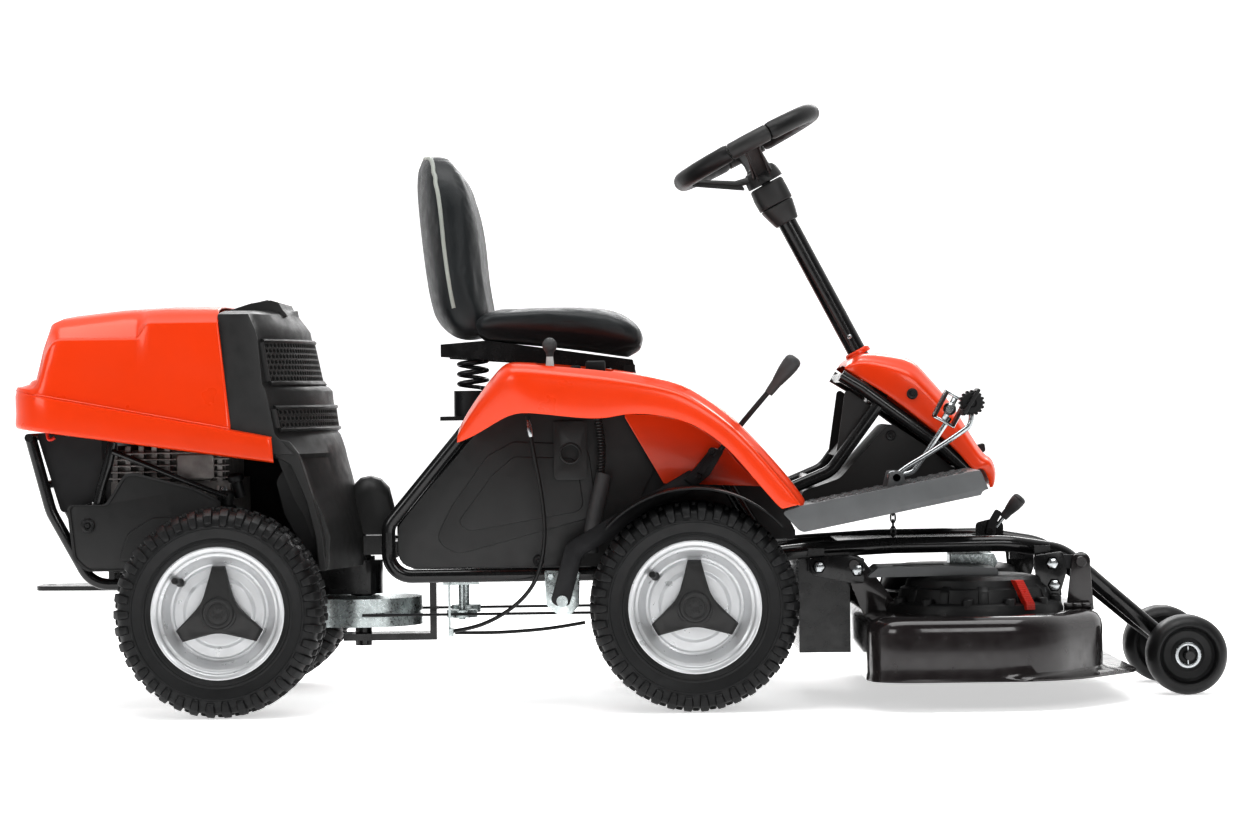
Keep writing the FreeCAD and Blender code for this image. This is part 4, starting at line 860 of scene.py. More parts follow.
def fender(name, side):
    """Orange fender: a top that rolls over a crease into an outer band, and an inner arch skin."""
    low, high = node_box(f"fender_{name}")
    outer = 397
    inner = 226
    rings = []
    for index, ((tx, tz), (lx, lz)) in enumerate(zip(FENDER_TOP, FENDER_LOW)):
        rear = max(0.0, (-190 - tx) / 95)
        width = outer - 62 * rear
        drop = 5 + 5 * min(1, max(0, (tx + 160) / 100))
        mid = (tx * 0.42 + lx * 0.58, tz * 0.42 + lz * 0.58)
        ring = [(tx, -inner, tz + 2), (tx, -inner - 10, tz + 3), (tx, -(inner + width) / 2, tz + 4),
                (tx, -width + 48, tz + 3), (tx, -width + 34, tz + 1), (tx + 0.15 * (lx - tx), -width + 14, tz - drop),
                (tx * 0.8 + lx * 0.2, -width + 3, tz * 0.8 + lz * 0.2), (mid[0], -width, mid[1]),
                (lx * 0.93 + tx * 0.07, -width + 1, lz * 0.93 + tz * 0.07), (lx, -width + 4, lz)]
        rings.append([(x, -side * y, z) for x, y, z in ring])
    skin = loft(f"fender_{name}_skin", rings, caps=False, closed=False, degrees=28)
    thick = skin.modifiers.new("skin", "SOLIDIFY")
    thick.thickness = 3.5 * MM
    thick.offset = -1
    surface = skin.modifiers.new("surface", "SUBSURF")
    surface.levels = surface.render_levels = 2
    return skin


def fenders():
    """Both fenders; the right one has the console recess and the lever's slot."""
    for name, side in SIDES.items():
        skin = fender(name, side)
        apply_modifiers(skin)
        panel = prism(f"fender_{name}_inner", [(1, 508, 6), (71, 386), (246, 378), (214, 405), (176, 449, 30),
                                               (139, 478, 30), (105, 495, 30), (58, 505)],
                      *sorted((side * 221, side * 218)))
        soften(panel, 1)
        if side == RIGHT:
            pocket = prism("console_tool", [(-146, -366, 12), (-12, -366, 12), (-12, -284, 12), (-146, -284, 12)],
                           540, 660, "xy")
            slot = prism("slot_tool", [(40, -268, 8), (212, -268, 8), (212, -244, 8), (40, -244, 8)], 470, 640, "xy")
            slot_rest = prism("slot_tool_2", [(-8, -262, 6), (60, -262, 6), (60, -248, 6), (-8, -248, 6)], 560, 640,
                              "xy")
            cut(skin, pocket, slot, slot_rest)
        fit(merge(f"fender_{name}_shell", [skin, panel]), "front_section", "orange_shell", f"fender_{name}")


fenders()

# ---------------------------------------------------------------- seat

SEAT_HALF = (node_box("seat_cushion")[1].y - node_box("seat_cushion")[0].y) / 2


def puff(obj, pressure, cap):
    """Let cloth swell a closed form under pressure, held to a largest travel; leaves plain mesh."""
    remesh = obj.modifiers.new("remesh", "REMESH")
    remesh.mode = "VOXEL"
    remesh.voxel_size = 7 * MM
    apply_modifiers(obj)
    start = [v.co.copy() for v in obj.data.vertices]
    cloth = obj.modifiers.new("cloth", "CLOTH")
    cloth.settings.use_pressure = True
    cloth.settings.uniform_pressure_force = pressure
    cloth.settings.quality = 4
    cloth.settings.mass = 0.3
    cloth.settings.tension_stiffness = 22
    cloth.settings.compression_stiffness = 22
    cloth.settings.effector_weights.gravity = 0
    cloth.point_cache.frame_start, cloth.point_cache.frame_end = 1, 20
    for step in range(1, 13):
        SCENE.frame_set(step)
    apply_modifiers(obj)
    SCENE.frame_set(1)
    for vertex, origin in zip(obj.data.vertices, start):
        move = vertex.co - origin
        if move.length > cap * MM:
            vertex.co = origin + move.normalized() * cap * MM
    surface = obj.modifiers.new("surface", "SUBSURF")
    surface.levels = surface.render_levels = 1
    apply_modifiers(obj)
    return smooth(obj, 80)


def superellipse(half_a, half_b, count, power=3.2):
    """Points of a rounded rectangle by formula."""
    points = []
    for k in range(count):
        turn = 2 * math.pi * k / count
        c, s = math.cos(turn), math.sin(turn)
        points.append((math.copysign(abs(c) ** (2 / power), c) * half_a, math.copysign(abs(s) ** (2 / power), s) * half_b))
    return points


def seat_back():
    """Backrest: a shell-shaped pad that curves forward at its sides, with a raised centre and piping."""
    outer = [(648, -300), (672, -328), (736, -341), (825, -351), (903, -358), (947, -359), (970, -352)]
    inner = [(648, -240), (700, -238), (747, -254), (795, -252), (851, -258), (895, -266), (934, -279),
             (955, -296), (966, -312)]

    def at(line, z):
        for (z0, x0), (z1, x1) in zip(line, line[1:]):
            if z <= z1:
                return x0 + (x1 - x0) * max(0, (z - z0) / (z1 - z0))
        return line[-1][1]

    levels = [646, 664, 690, 730, 780, 830, 880, 920, 948, 966, 976]
    half_at = {646: 190, 664: 202, 690: 208, 730: 207, 780: 204, 830: 200, 880: 192, 920: 176, 948: 152, 966: 120,
               976: 80}
    rings = []
    for z in levels:
        half = half_at[z]
        rear, front = at(outer, z), at(inner, z)
        ring = []
        count = 28
        for across, deep in superellipse(half, 1.0, count, 2.8):
            u = abs(across) / half
            wing = 26 * u ** 2.6 if deep > 0 else 12 * u ** 2
            thickness = (front - rear) / 2
            middle = (front + rear) / 2
            channel = 0
            if deep > 0 and abs(u - 0.62) < 0.12:
                channel = -5 * math.cos((u - 0.62) / 0.12 * math.pi / 2)
            ring.append((middle + deep * thickness + wing + channel, across, z))
        rings.append(ring)
    pad = loft("seat_back_pad", rings, degrees=60)
    surface = pad.modifiers.new("surface", "SUBSURF")
    surface.levels = surface.render_levels = 2
    apply_modifiers(pad)
    puff(pad, 2.0, 6)
    fit(smooth(pad, 80), "seat", "seat_vinyl", "seat_back")
    points = [v.co / MM for v in pad.data.vertices]
    trail = []
    for k in range(41):
        turn = math.radians(-12 + 204 * k / 40)
        direction = Vector((-0.5, -math.cos(turn), math.sin(turn)))
        spot = max(points, key=direction.dot)
        if not trail or (spot - trail[-1]).length > 12:
            trail.append(spot.copy())
    piping = tube("seat_back_piping", trail, 4.0, 4)
    fit(piping, "seat", "seat_vinyl", finish=PIPING)


def seat_cushion():
    """Seat pad: crowned and raised at the back, rounded nose, bolstered sides."""
    side_top = [(-268, 664), (-236, 694), (-200, 694), (-140, 696), (-80, 697), (-30, 694), (8, 683), (30, 668),
                (42, 648)]
    side_low = [(-268, 650), (-236, 646), (-200, 643), (-140, 637), (-80, 630), (-30, 622), (8, 616), (30, 614),
                (42, 622)]
    rings = []
    count = 32
    for index, ((x, top), (_, low)) in enumerate(zip(side_top, side_low)):
        half = SEAT_HALF - 3 - 34 * max(0, (x + 10) / 52) ** 2 - 12 * max(0, (-230 - x) / 38)
        ring = []
        for across, up in superellipse(half, 1.0, count, 3.4):
            u = abs(across) / half
            middle, thick = (top + low) / 2, (top - low) / 2
            hollow = -7 * math.cos(min(u / 0.75, 1) * math.pi / 2) if up > 0 else 0
            seam = -4.5 * math.cos((u - 0.7) / 0.1 * math.pi / 2) if up > 0 and abs(u - 0.7) < 0.1 else 0
            ring.append((x, across, middle + up * thick + (hollow + seam) * (1 if up > 0.3 else 0.3)))
        rings.append(ring)
    pad = loft("seat_cushion_pad", rings, degrees=60)
    surface = pad.modifiers.new("surface", "SUBSURF")
    surface.levels = surface.render_levels = 2
    apply_modifiers(pad)
    puff(pad, 2.5, 6)
    fit(smooth(pad, 80), "seat", "seat_vinyl", "seat_cushion")


seat_back()
seat_cushion()

# ---------------------------------------------------------------- steering wheel and column

STEER_JOINT = next(j for j in frame["joints"] if j["name"] == "steering_turn")
STEER_AXIS = Vector(STEER_JOINT["axis"]).normalized()
WHEEL_CENTRE = Vector(STEER_JOINT["pos_m"]) / MM
STEER_ACROSS = Vector((0, 1, 0))
STEER_FORWARD = STEER_ACROSS.cross(STEER_AXIS).normalized()
COLUMN_DISTANCE = 416.5


def on_column(distance):
    """Point on the steering axis, measured up from the foot of the visible column."""
    return WHEEL_CENTRE + STEER_AXIS * (distance - COLUMN_DISTANCE)


def ring_point(turn, radius, lift=0.0):
    """Point round the steering wheel's axis."""
    reach = STEER_ACROSS * math.cos(turn) + STEER_FORWARD * math.sin(turn)
    return WHEEL_CENTRE + reach * radius + STEER_AXIS * lift


def rim_sector(name, start, end, radius, section, bumps=0.0):
    """Stretch of the steering wheel's rim with rounded ends."""
    steps, around = 48, 20
    rings = []
    for k in range(steps + 1):
        turn = start + (end - start) * k / steps
        shrink = 1.0
        if k in (0, steps):
            shrink = 0.9
        centre = ring_point(turn, radius)
        outward = (centre - WHEEL_CENTRE).normalized()
        ring = []
        for a in range(around):
            angle = 2 * math.pi * a / around
            thick = section * shrink
            if bumps and math.cos(angle) < -0.2:
                thick -= bumps * (0.5 + 0.5 * math.cos(turn * 36))
            ring.append(centre + outward * math.cos(angle) * thick + STEER_AXIS * math.sin(angle) * thick * 1.08)
        rings.append(ring)
    return loft(name, rings, degrees=50)


def steering_wheel():
    """Deep wheel: two dark grips, two grey inserts, three folded spokes with webs, a hub and a cap."""
    radius, section = 131.5, 15.2
    gap = 0.02
    insert = 0.28
    grips = []
    for k, middle in enumerate((math.pi / 2, -math.pi / 2)):
        half = math.pi / 2 - insert
        grips.append(rim_sector(f"steering_grip_{k}", middle - half + gap, middle + half - gap, radius, section, 1.4))
    fit(merge("steering_grips", grips), "steering", "black_plastic", "steering_wheel")
    inserts = [rim_sector(f"steering_insert_{k}", middle - insert, middle + insert, radius, section - 0.9)
               for k, middle in enumerate((0, math.pi))]
    spokes = []
    for k, turn in enumerate((0.0, math.pi, -math.pi / 2)):
        reach = STEER_ACROSS * math.cos(turn) + STEER_FORWARD * math.sin(turn)
        side = STEER_AXIS.cross(reach).normalized()
        path = [(24, -58, 20, 9), (48, -52, 19, 8), (92, -24, 15, 6), (116, -9, 17, 6), (128, -3, 20, 6)]
        rings = []
        for out, lift, half, thick in path:
            centre = WHEEL_CENTRE + reach * out + STEER_AXIS * lift
            rings.append([centre - side * half, centre - side * half * 0.8 + STEER_AXIS * thick,
                          centre + side * half * 0.8 + STEER_AXIS * thick, centre + side * half,
                          centre + side * half * 0.86 - STEER_AXIS * 3, centre + side * half * 0.62,
                          centre - side * half * 0.62, centre - side * half * 0.86 - STEER_AXIS * 3])
        spokes.append(soften(loft(f"spoke_{k}", rings), 1.2, 2))
        for way in (-1, 1):
            web = []
            for out, lift in ((40, -66), (118, -16)):
                centre = WHEEL_CENTRE + reach * out + STEER_AXIS * lift
                start = centre + side * way * 12
                web.append([start - side * 1.2, start + side * 1.2, start + side * 1.2 + STEER_AXIS * 14,
                            start - side * 1.2 + STEER_AXIS * 14])
            spokes.append(loft(f"web_{k}_{way}", web))
    hub = lathe("steering_hub", [(0.01, -44), (22, -44), (27, -46), (31, -52), (33, -60), (34, -72), (9, -72),
                                 (9, -60), (0.01, -60)], WHEEL_CENTRE, STEER_AXIS, 48)
    cap = lathe("steering_cap", [(0.01, -38), (14, -38.5), (21, -41), (24, -46), (0.01, -46)], WHEEL_CENTRE,
                STEER_AXIS, 48)
    shaft = lathe("steering_shaft", [(0.01, -512), (8.9, -512), (8.9, -60), (0.01, -60)], WHEEL_CENTRE, STEER_AXIS, 24)
    fit(merge("steering_spokes", inserts + spokes + [hub, cap, shaft]), "steering", "dark_plastic")


def steering_column():
    """Black tube with a two-part tapered housing under the wheel."""
    around = 40

    def oval(distance, wide, deep, shift=0.0):
        ring = []
        for k in range(around):
            angle = 2 * math.pi * k / around
            c, s = math.cos(angle), math.sin(angle)
            c = math.copysign(abs(c) ** 0.75, c)
            s = math.copysign(abs(s) ** 0.75, s)
            ring.append(on_column(distance) + STEER_ACROSS * c * wide + STEER_FORWARD * (s * deep + shift))
        return ring

    lower = loft("housing_lower", [oval(262, 19, 19), oval(263, 22, 22), (oval(280, 27, 27, -1)),
                                   oval(297, 31, 31, -2), oval(299, 30, 30, -2)])
    upper = loft("housing_upper", [oval(300, 31, 31, -2), oval(301.5, 32.5, 32.5, -2), oval(322, 34, 33, -2),
                                   oval(338, 33, 32, -1), oval(341, 31, 30, -1)])
    for piece in (lower, upper):
        soften(piece, 1.4, 3, 25)
    tube_piece = lathe("column_tube", [(9.3, -90), (17, -90), (17, 266), (9.3, 266)], on_column(0), STEER_AXIS, 40)
    fit(merge("steering_column_body", [tube_piece]), "front_section", "black_tube", "steering_column")
    fit(merge("column_housing", [lower, upper]), "front_section", "dark_plastic")
    screws("column_screw", "front_section", [on_column(28) - STEER_FORWARD * 0.1 + Vector((0, -16.4, 0))], (0, -1, 0),
           3.4, 2.6, "bright_steel")


steering_wheel()
steering_column()

# ---------------------------------------------------------------- cowl and footwell


def cowl():
    """Orange cowl over the column's foot: crest, chamfered shoulders, side faces with a step, nose."""
    low, high = node_box("cowl")
    half = high.y
    crest = [(397, 588), (407, 599), (424, 610), (452, 611), (484, 607), (513, 602), (529, 589), (556, 557),
             (581, 528), (603, 494), (619, 465), (634, 441), (645, 426), (657, 422), (667, 391), (660, 368)]
    lower = [(393, 583), (402, 576), (416, 567), (438, 553), (468, 534), (497, 512), (520, 493), (540, 477),
             (561, 460), (584, 438), (600, 420), (612, 404), (622, 398), (634, 405), (646, 384), (649, 366)]
    rings = []
    last = len(crest) - 1
    for index, ((tx, tz), (lx, lz)) in enumerate(zip(crest, lower)):
        u = index / last
        width = half * (0.80 + 0.20 * min(1, u * 3.2))
        if u > 0.86:
            width = half * (1 - 0.22 * ((u - 0.86) / 0.14) ** 1.5)
        top = width * 0.56
        step = 0.34
        x1, z1 = tx + (lx - tx) * 0.2, tz + (lz - tz) * 0.2
        x2, z2 = tx + (lx - tx) * step, tz + (lz - tz) * step
        x3, z3 = tx + (lx - tx) * 0.5, tz + (lz - tz) * 0.5
        ring = [(lx, -width + 2, lz), (lx * 0.9 + tx * 0.1, -width, lz * 0.9 + tz * 0.1), (x3, -width + 1.5, z3),
                (x2, -width + 4, z2), (x1 * 0.6 + x2 * 0.4, -width + 13, z1 * 0.6 + z2 * 0.4),
                (x1, -width + 22, z1), ((tx + x1) / 2, -(top + width) / 2 + 4, (tz + z1) / 2 + 3),
                (tx, -top, tz - 2), (tx, -top * 0.5, tz), (tx, 0, tz + 1)]
        rings.append(ring + [(x, -y, z) for x, y, z in reversed(ring[:-1])])
    shell = loft("cowl_shell", rings, caps=False, closed=False, degrees=26)
    skin = shell.modifiers.new("skin", "SOLIDIFY")
    skin.thickness = 3.5 * MM
    skin.offset = -1
    surface = shell.modifiers.new("surface", "SUBSURF")
    surface.levels = surface.render_levels = 2
    apply_modifiers(shell)
    hole = lathe("column_hole", [(0.01, -40), (20, -40), (20, 80), (0.01, 80)], on_column(0), STEER_AXIS, 32)
    cut(shell, hole)
    collar = lathe("cowl_collar", [(17.6, -14), (24, -14), (23, -6), (20, -3.5), (17.6, -3.5)], on_column(4),
                   STEER_AXIS, 40)
    fit(merge("cowl_panel", [shell, soften(collar, 0.8, 2)]), "front_section", "orange_shell", "cowl")
    plugs = []
    for side in SIDES.values():
        plugs.append(lathe(f"cowl_plug_{side}", [(0.01, 3.4), (3, 3.4), (3.6, 1.6), (7.6, 2.6), (9.6, 1.6), (10, -4),
                                                 (0.01, -4)],
                           (512, side * (half - 0.5), 536), (0, side, 0), 28))
        plugs.append(lathe(f"tunnel_plug_{side}", [(0.01, 3), (3, 3), (3.6, 1.4), (7.6, 2.4), (9, 1.4), (9.4, -2),
                                                   (0.01, -2)], (475, side * 122.2, 463), (0, side, 0), 28))
    fit(merge("cowl_plugs", plugs), "front_section", "black_plastic")
    hook = prism("cowl_hook", [(634, 441), (652, 446, 4), (654, 432, 4), (643, 424)], -14, 14)
    fit(soften(hook, 1.5, 3), "front_section", "black_plastic")


def foot_boards():
    """Pressed foot boards: ribbed deck, serrated outer crest and folded skirt."""
    for name, side in SIDES.items():
        low, high = node_box(f"footplate_{name}")
        outer = max(abs(low.y), abs(high.y))
        inner = 150
        skirt = prism(f"board_skirt_{name}", [(268, 339, 6), (306, 350, 4), (606, 406, 10), (618, 374, 6),
                                              (609, 369), (606, 363), (305, 304, 18), (297, 308, 6)],
                      *sorted((side * outer, side * (outer - 3))))
        slope = (405 - 346) / 304.0
        deck = prism(f"board_deck_{name}", [(302, 346), (606, 405), (606, 402), (302, 343)],
                     *sorted((side * (outer - 1), side * inner)))
        front = prism(f"board_front_{name}", [(606, 405), (619, 373), (616, 372), (603, 404)],
                      *sorted((side * (outer - 1), side * inner)))
        back = prism(f"board_inner_{name}", [(302, 345), (606, 404), (614, 378), (305, 318)],
                     *sorted((side * inner, side * (inner + 3))))
        pieces = [soften(skirt, 1.2, 3), deck, front, back]
        teeth = []
        for k in range(46):
            x = 330 + k * 3.1
            z = 346 + (x - 302) * slope
            teeth.append(prism(f"tooth_{name}_{k}", [(x, z), (x + 1.7, z + 0.33), (x + 1.7, z + 3.4), (x, z + 3.0)],
                               *sorted((side * (outer - 4), side * (outer - 9)))))
        ribs = []
        for row in range(5):
            for k in range(14):
                x = 330 + k * 19 + (9 if row % 2 else 0)
                z = 346 + (x - 302) * slope
                y = side * (inner + 34 + row * 42)
                spot = lathe(f"stud_{name}_{row}_{k}", [(3.2, 2.4), (4.6, 2.4), (5.6, 0), (5.6, -1), (3.2, -1)],
                             (x, y, z), (-slope, 0, 1), 14)
                ribs.append(spot)
        board = merge(f"footplate_{name}_board", pieces + teeth + ribs)
        if side == RIGHT:
            ears = []
            for y in (-336, -234):
                ears.append(soften(prism(f"pedal_ear_{y}", [(450, 371), (486, 378), (478, 404, 6), (458, 404, 6)],
                                         y - 2, y + 2), 0.6, 2))
            pin = lathe("pedal_pin", [(0.01, -53), (6.5, -53), (6.5, -50), (4.9, -50), (4.9, 50), (6.5, 50),
                                      (6.5, 53), (0.01, 53)], (468, -285, 393), (0, 1, 0), 24)
            board = merge(f"footplate_{name}_board", [board] + ears + [pin])
        fit(board, "front_section", "grey_paint", f"footplate_{name}")


def pedals():
    """Bent zinc rods with a boss: a black studded pad in front of a framed bright one."""
    pivot_x, pivot_z = 468, 393
    for name, y, bar, foot, tip, dark in (
            ("forward_pedal", -322, [(470, 396), (474, 404), (530, 436), (584, 471), (600, 484), (598, 504)],
             (588, 494), (617, 540), False),
            ("reverse_pedal", -248, [(470, 396), (498, 396), (512, 410), (568, 494)], (556, 487), (580, 531), True)):
        boss = lathe(name + "_boss", [(5.1, -9.5), (9.5, -9.5), (10, -9), (10, 9), (9.5, 9.5), (5.1, 9.5)],
                     (pivot_x, y, pivot_z), (0, 1, 0), 28)
        rod_curve = tube(name + "_rod_curve", [(x, y, z) for x, z in bar], 4.6)
        rod_mesh = bpy.data.objects.new(name + "_rod", bpy.data.meshes.new_from_object(rod_curve))
        SCENE.collection.objects.link(rod_mesh)
        bpy.data.objects.remove(rod_curve)
        fit(merge(name + "_arm", [boss, rod_mesh]), name, "bright_steel", name)
        along = Vector((tip[0] - foot[0], 0, tip[1] - foot[1]))
        length = along.length
        along.normalize()
        face = Vector((-along.z, 0, along.x))
        middle = Vector((foot[0], y, foot[1])) + along * length / 2

        def place(u, v, w):
            return middle + along * u + Vector((0, 1, 0)) * v + face * w

        def slab(label, half_long, half_wide, low, high, corner=7):
            outline = rounded([(-half_long, -half_wide, corner), (half_long, -half_wide, corner),
                               (half_long, half_wide, corner), (-half_long, half_wide, corner)])
            rings = [[place(p[0], p[1], w) for p in outline] for w in (low, high)]
            return soften(loft(label, rings), 1.3, 3)

        if dark:
            frame_pad = []
            corners = [(-24, -20), (24, -20), (24, 20), (-24, 20)]
            for k in range(4):
                (u0, v0), (u1, v1) = corners[k], corners[(k + 1) % 4]
                sections = []
                for share in (0.0, 0.5, 1.0):
                    u, v = u0 + (u1 - u0) * share, v0 + (v1 - v0) * share
                    sections.append([middle + along * (u + du) + face * (v + dv) + Vector((0, w, 0))
                                     for du, dv, w in ((-2.6, -2.6, -7), (2.6, 2.6, -7), (2.6, 2.6, 7), (-2.6, -2.6, 7))])
                frame_pad.append(soften(loft(f"{name}_frame_{k}", sections), 1, 2))
            frame_pad.append(lathe(name + "_hub", [(0.01, 9), (7, 9), (11, 6), (11, -6), (0.01, -6)], middle,
                                   (0, -1, 0), 24))
            frame_pad.append(soften(loft(name + "_web", [[middle + along * u + face * v + Vector((0, w, 0))
                                                          for u, v in ((-22, -5), (22, -5), (22, 5), (-22, 5))]
                                                         for w in (-3, 3)]), 1, 2))
            fit(merge(name + "_pad_frame", frame_pad), name, "bright_steel")
            for sign in (-1, 1):
                strip = slab(f"{name}_grip_{sign}", length / 2, 27, 18 * sign - 2, 18 * sign + 2, 8)
                fit(strip, name, "black_plastic")
        else:
            pad = [slab(name + "_pad", length / 2 - 1, 30, 4, 10, 9)]
            for row in range(5):
                strip = slab(f"{name}_rib_{row}", 1.6, 27, 9.6, 12, 1.5)
                strip.data.transform(Matrix.Translation(along * MM * (-length / 2 + 8 + row * (length - 16) / 4)))
                pad.append(strip)
            profile = [(0.01, 9), (6, 9), (8, 11), (17, 11), (19, 8), (19, -8), (17, -11), (0.01, -11)]
            pad.append(lathe(name + "_disc", profile, middle + face * 4, (0, -1, 0), 40))
            for k in range(16):
                turn = 2 * math.pi * k / 16
                spot = middle + face * 4 + Vector((math.cos(turn), 0, math.sin(turn))) * 19.5
                pad.append(lathe(f"{name}_tooth_{k}", [(0.01, 9), (2.6, 9), (2.6, -9), (0.01, -9)], spot, (0, -1, 0), 8))
            fit(merge(name + "_pad_rubber", pad), name, "black_plastic")


cowl()
foot_boards()
pedals()

# ---------------------------------------------------------------- cutting deck


def ring_in_plan(points, z, inset=0.0):
    """Rounded plan outline at a height, drawn in towards its middle."""
    outline = rounded(points, 10)
    middle = sum(outline, Vector((0, 0))) / len(outline)
    ring = []
    count = len(outline)
    for k, p in enumerate(outline):
        along = (outline[(k + 1) % count] - outline[k - 1]).normalized()
        normal = Vector((along.y, -along.x))
        if normal.dot(p - middle) > 0:
            normal = -normal
        q = p + normal * inset
        ring.append((q.x, q.y, z))
    return ring


def deck_shell():
    """Pressed deck: domed shoulder, straight side wall and a flared lip that reaches forward."""
    low, high = node_box("deck_shell")
    half = high.y
    plan = [(410, -half, 90), (706, -half, 170), (829, -272, 110), (829, 272, 110), (706, half, 170),
            (410, half, 90)]
    lip = [(409, -half, 90), (742, -half, 190), (889, -262, 130), (889, 262, 130), (742, half, 190), (409, half, 90)]
    top, rim = 160, low.z
    rings = [ring_in_plan(plan, top - 3, 150), ring_in_plan(plan, top - 1, 60), ring_in_plan(plan, top, 34),
             ring_in_plan(plan, top - 2, 20), ring_in_plan(plan, top - 8, 9), ring_in_plan(plan, top - 18, 2.5),
             ring_in_plan(plan, top - 30, 0.5), ring_in_plan(plan, rim + 30, 0.5), ring_in_plan(plan, rim + 14, 1)]
    flare = []
    for index, (blend, z) in enumerate(((0.15, rim + 9), (0.6, rim + 5), (1.0, rim + 3.5))):
        inner, outer = rounded(plan, 10), rounded(lip, 10)
        flare.append([(a.x + (b.x - a.x) * blend, a.y + (b.y - a.y) * blend, z) for a, b in zip(inner, outer)])
    last = [(x, y, rim + 0.4) for x, y, z in flare[-1]]
    shell = loft("deck_pressing", rings + flare + [last], caps=False, degrees=50)
    skin = shell.modifiers.new("skin", "SOLIDIFY")
    skin.thickness = 3 * MM
    skin.offset = -1
    top_ring = rings[0]
    lid = solid("deck_lid", [(x, y, z) for x, y, z in top_ring] + [(x, y, z - 3) for x, y, z in top_ring],
                [tuple(range(len(top_ring))), tuple(range(2 * len(top_ring) - 1, len(top_ring) - 1, -1))])
    cheeks = []
    for side in SIDES.values():
        near, far = sorted((side * 219, side * 225))
        rear = prism(f"cheek_rear_{side}", [(388, 254, 12), (412, 254, 12), (470, 176, 10), (470, 152), (416, 152),
                                            (388, 222, 10)], near, far)
        front = prism(f"cheek_front_{side}", [(781, 254, 13), (810, 254, 13), (817, 156), (769, 156)], near, far)
        cheeks += [soften(rear, 1.2, 2), soften(front, 1.2, 2)]
        for x in (400, 795):
            cheeks.append(lathe(f"link_pin_{side}_{x}", [(0.01, -20), (6, -20), (6, 6), (10, 6.5), (10, 11), (8.5, 12.5),
                                                         (0.01, 12.5)], (x, side * 219, 240), (0, side, 0), 24))
        hinge = [lathe(f"deck_hinge_{side}_{k}", [(0.01, 0), (6, 0), (6, 15), (0.01, 15)],
                       (764 + k * 16, side * 232, 164), (1, 0, 0), 18) for k in range(3)]
        cheeks += [soften(h, 0.8, 2) for h in hinge]
    fit(merge("deck_shell_body", [shell, lid] + cheeks), "deck", "deck_paint", "deck_shell")


def belt_cover():
    """Tiered plastic cover over each spindle, a bridge between them, a pale top plate and the height scale."""
    middle_x = node_centre("blade_right").x - 10
    base = 160
    pieces = []
    profile = [(156, -17), (155, 2), (151, 12), (146, 15), (133, 16), (131, 26), (128, 38), (120, 41), (118, 46),
               (116, 53), (108, 57), (92, 60), (60, 61.5), (0.01, 62)]
    for side in SIDES.values():
        y = side * 205
        pieces.append(lathe(f"mound_{side}", profile, (middle_x, y, base), (0, 0, 1), 56, degrees=24))
        for k in range(7):
            turn = math.radians(-160 + 30 * k) * (1 if side == RIGHT else -1)
            spot = (middle_x + 141 * math.cos(turn), y + 141 * math.sin(turn), base)
            pieces.append(lathe(f"mound_boss_{side}_{k}", [(11, 0), (10.4, 22), (8.4, 24), (4, 24), (4, 21), (0.01, 21)],
                                spot, (0, 0, 1), 20))
            centre = Vector((middle_x + 128 * math.cos(turn + 0.2), y + 128 * math.sin(turn + 0.2), base + 26))
            out = Vector((math.cos(turn + 0.2), math.sin(turn + 0.2), 0))
            across = Vector((-out.y, out.x, 0))
            corners = [centre + out * o + across * w + Vector((0, 0, u)) for w in (-9, 9)
                       for o, u in ((-18, 24), (3, 10), (9, -12), (-18, -12))]
            pieces.append(soften(solid(f"mound_step_{side}_{k}", corners, [(0, 1, 2, 3), (4, 5, 6, 7), (0, 1, 5, 4),
                                                                          (1, 2, 6, 5), (2, 3, 7, 6), (3, 0, 4, 7)]),
                                 2, 2))
    bridge = prism("belt_bridge", [(middle_x - 86, -205, 6), (middle_x + 86, -205, 6), (middle_x + 78, 205, 6),
                                   (middle_x - 78, 205, 6)], base - 1, base + 44, "xy")
    pieces.append(soften(bridge, 6, 4))
    fit(merge("belt_cover_body", pieces), "deck", "black_plastic", "belt_cover")
    plate = prism("belt_top_plate", [(419, 219, 3), (441, 236, 8), (560, 237, 6), (646, 232, 4), (648, 221, 3)],
                  -262, -118)
    slot = prism("plate_slot", [(470, -214, 4), (560, -214, 4), (560, -176, 4), (470, -176, 4)], 210, 250, "xy")
    cut(plate, slot)
    fit(soften(plate, 1.6, 3), "deck", "grey_paint")
    teeth = []
    turn = math.radians(-58)
    out = Vector((math.cos(turn), math.sin(turn), 0))
    across = Vector((-out.y, out.x, 0))
    for k in range(16):
        z = 6 + 46 * k / 15
        reach = 159 if z < 14 else 159 - (z - 14) * 0.78
        centre = Vector((middle_x, -205, base + z)) + out * (reach - 3)
        corners = [centre + across * a * 9 + Vector((0, 0, b * 1.1)) + out * c for c in (-8, 3)
                   for a, b in ((-1, -1), (1, -1), (1, 1), (-1, 1))]
        teeth.append(solid(f"indicator_{k}", corners, [(0, 1, 2, 3), (4, 5, 6, 7), (0, 1, 5, 4), (1, 2, 6, 5),
                                                       (2, 3, 7, 6), (3, 0, 4, 7)]))
    spine = [Vector((middle_x, -205, base + z)) + out * (r - 4) for z, r in ((4, 159), (14, 159), (54, 128))]
    strip = loft("indicator_spine", [[p + across * a * 9 + out * c for a, c in ((-1, -9), (1, -9), (1, 2.4), (-1, 2.4))]
                                     for p in spine])
    fit(merge("height_indicator", teeth + [strip]), "deck", "black_plastic", finish=RED)


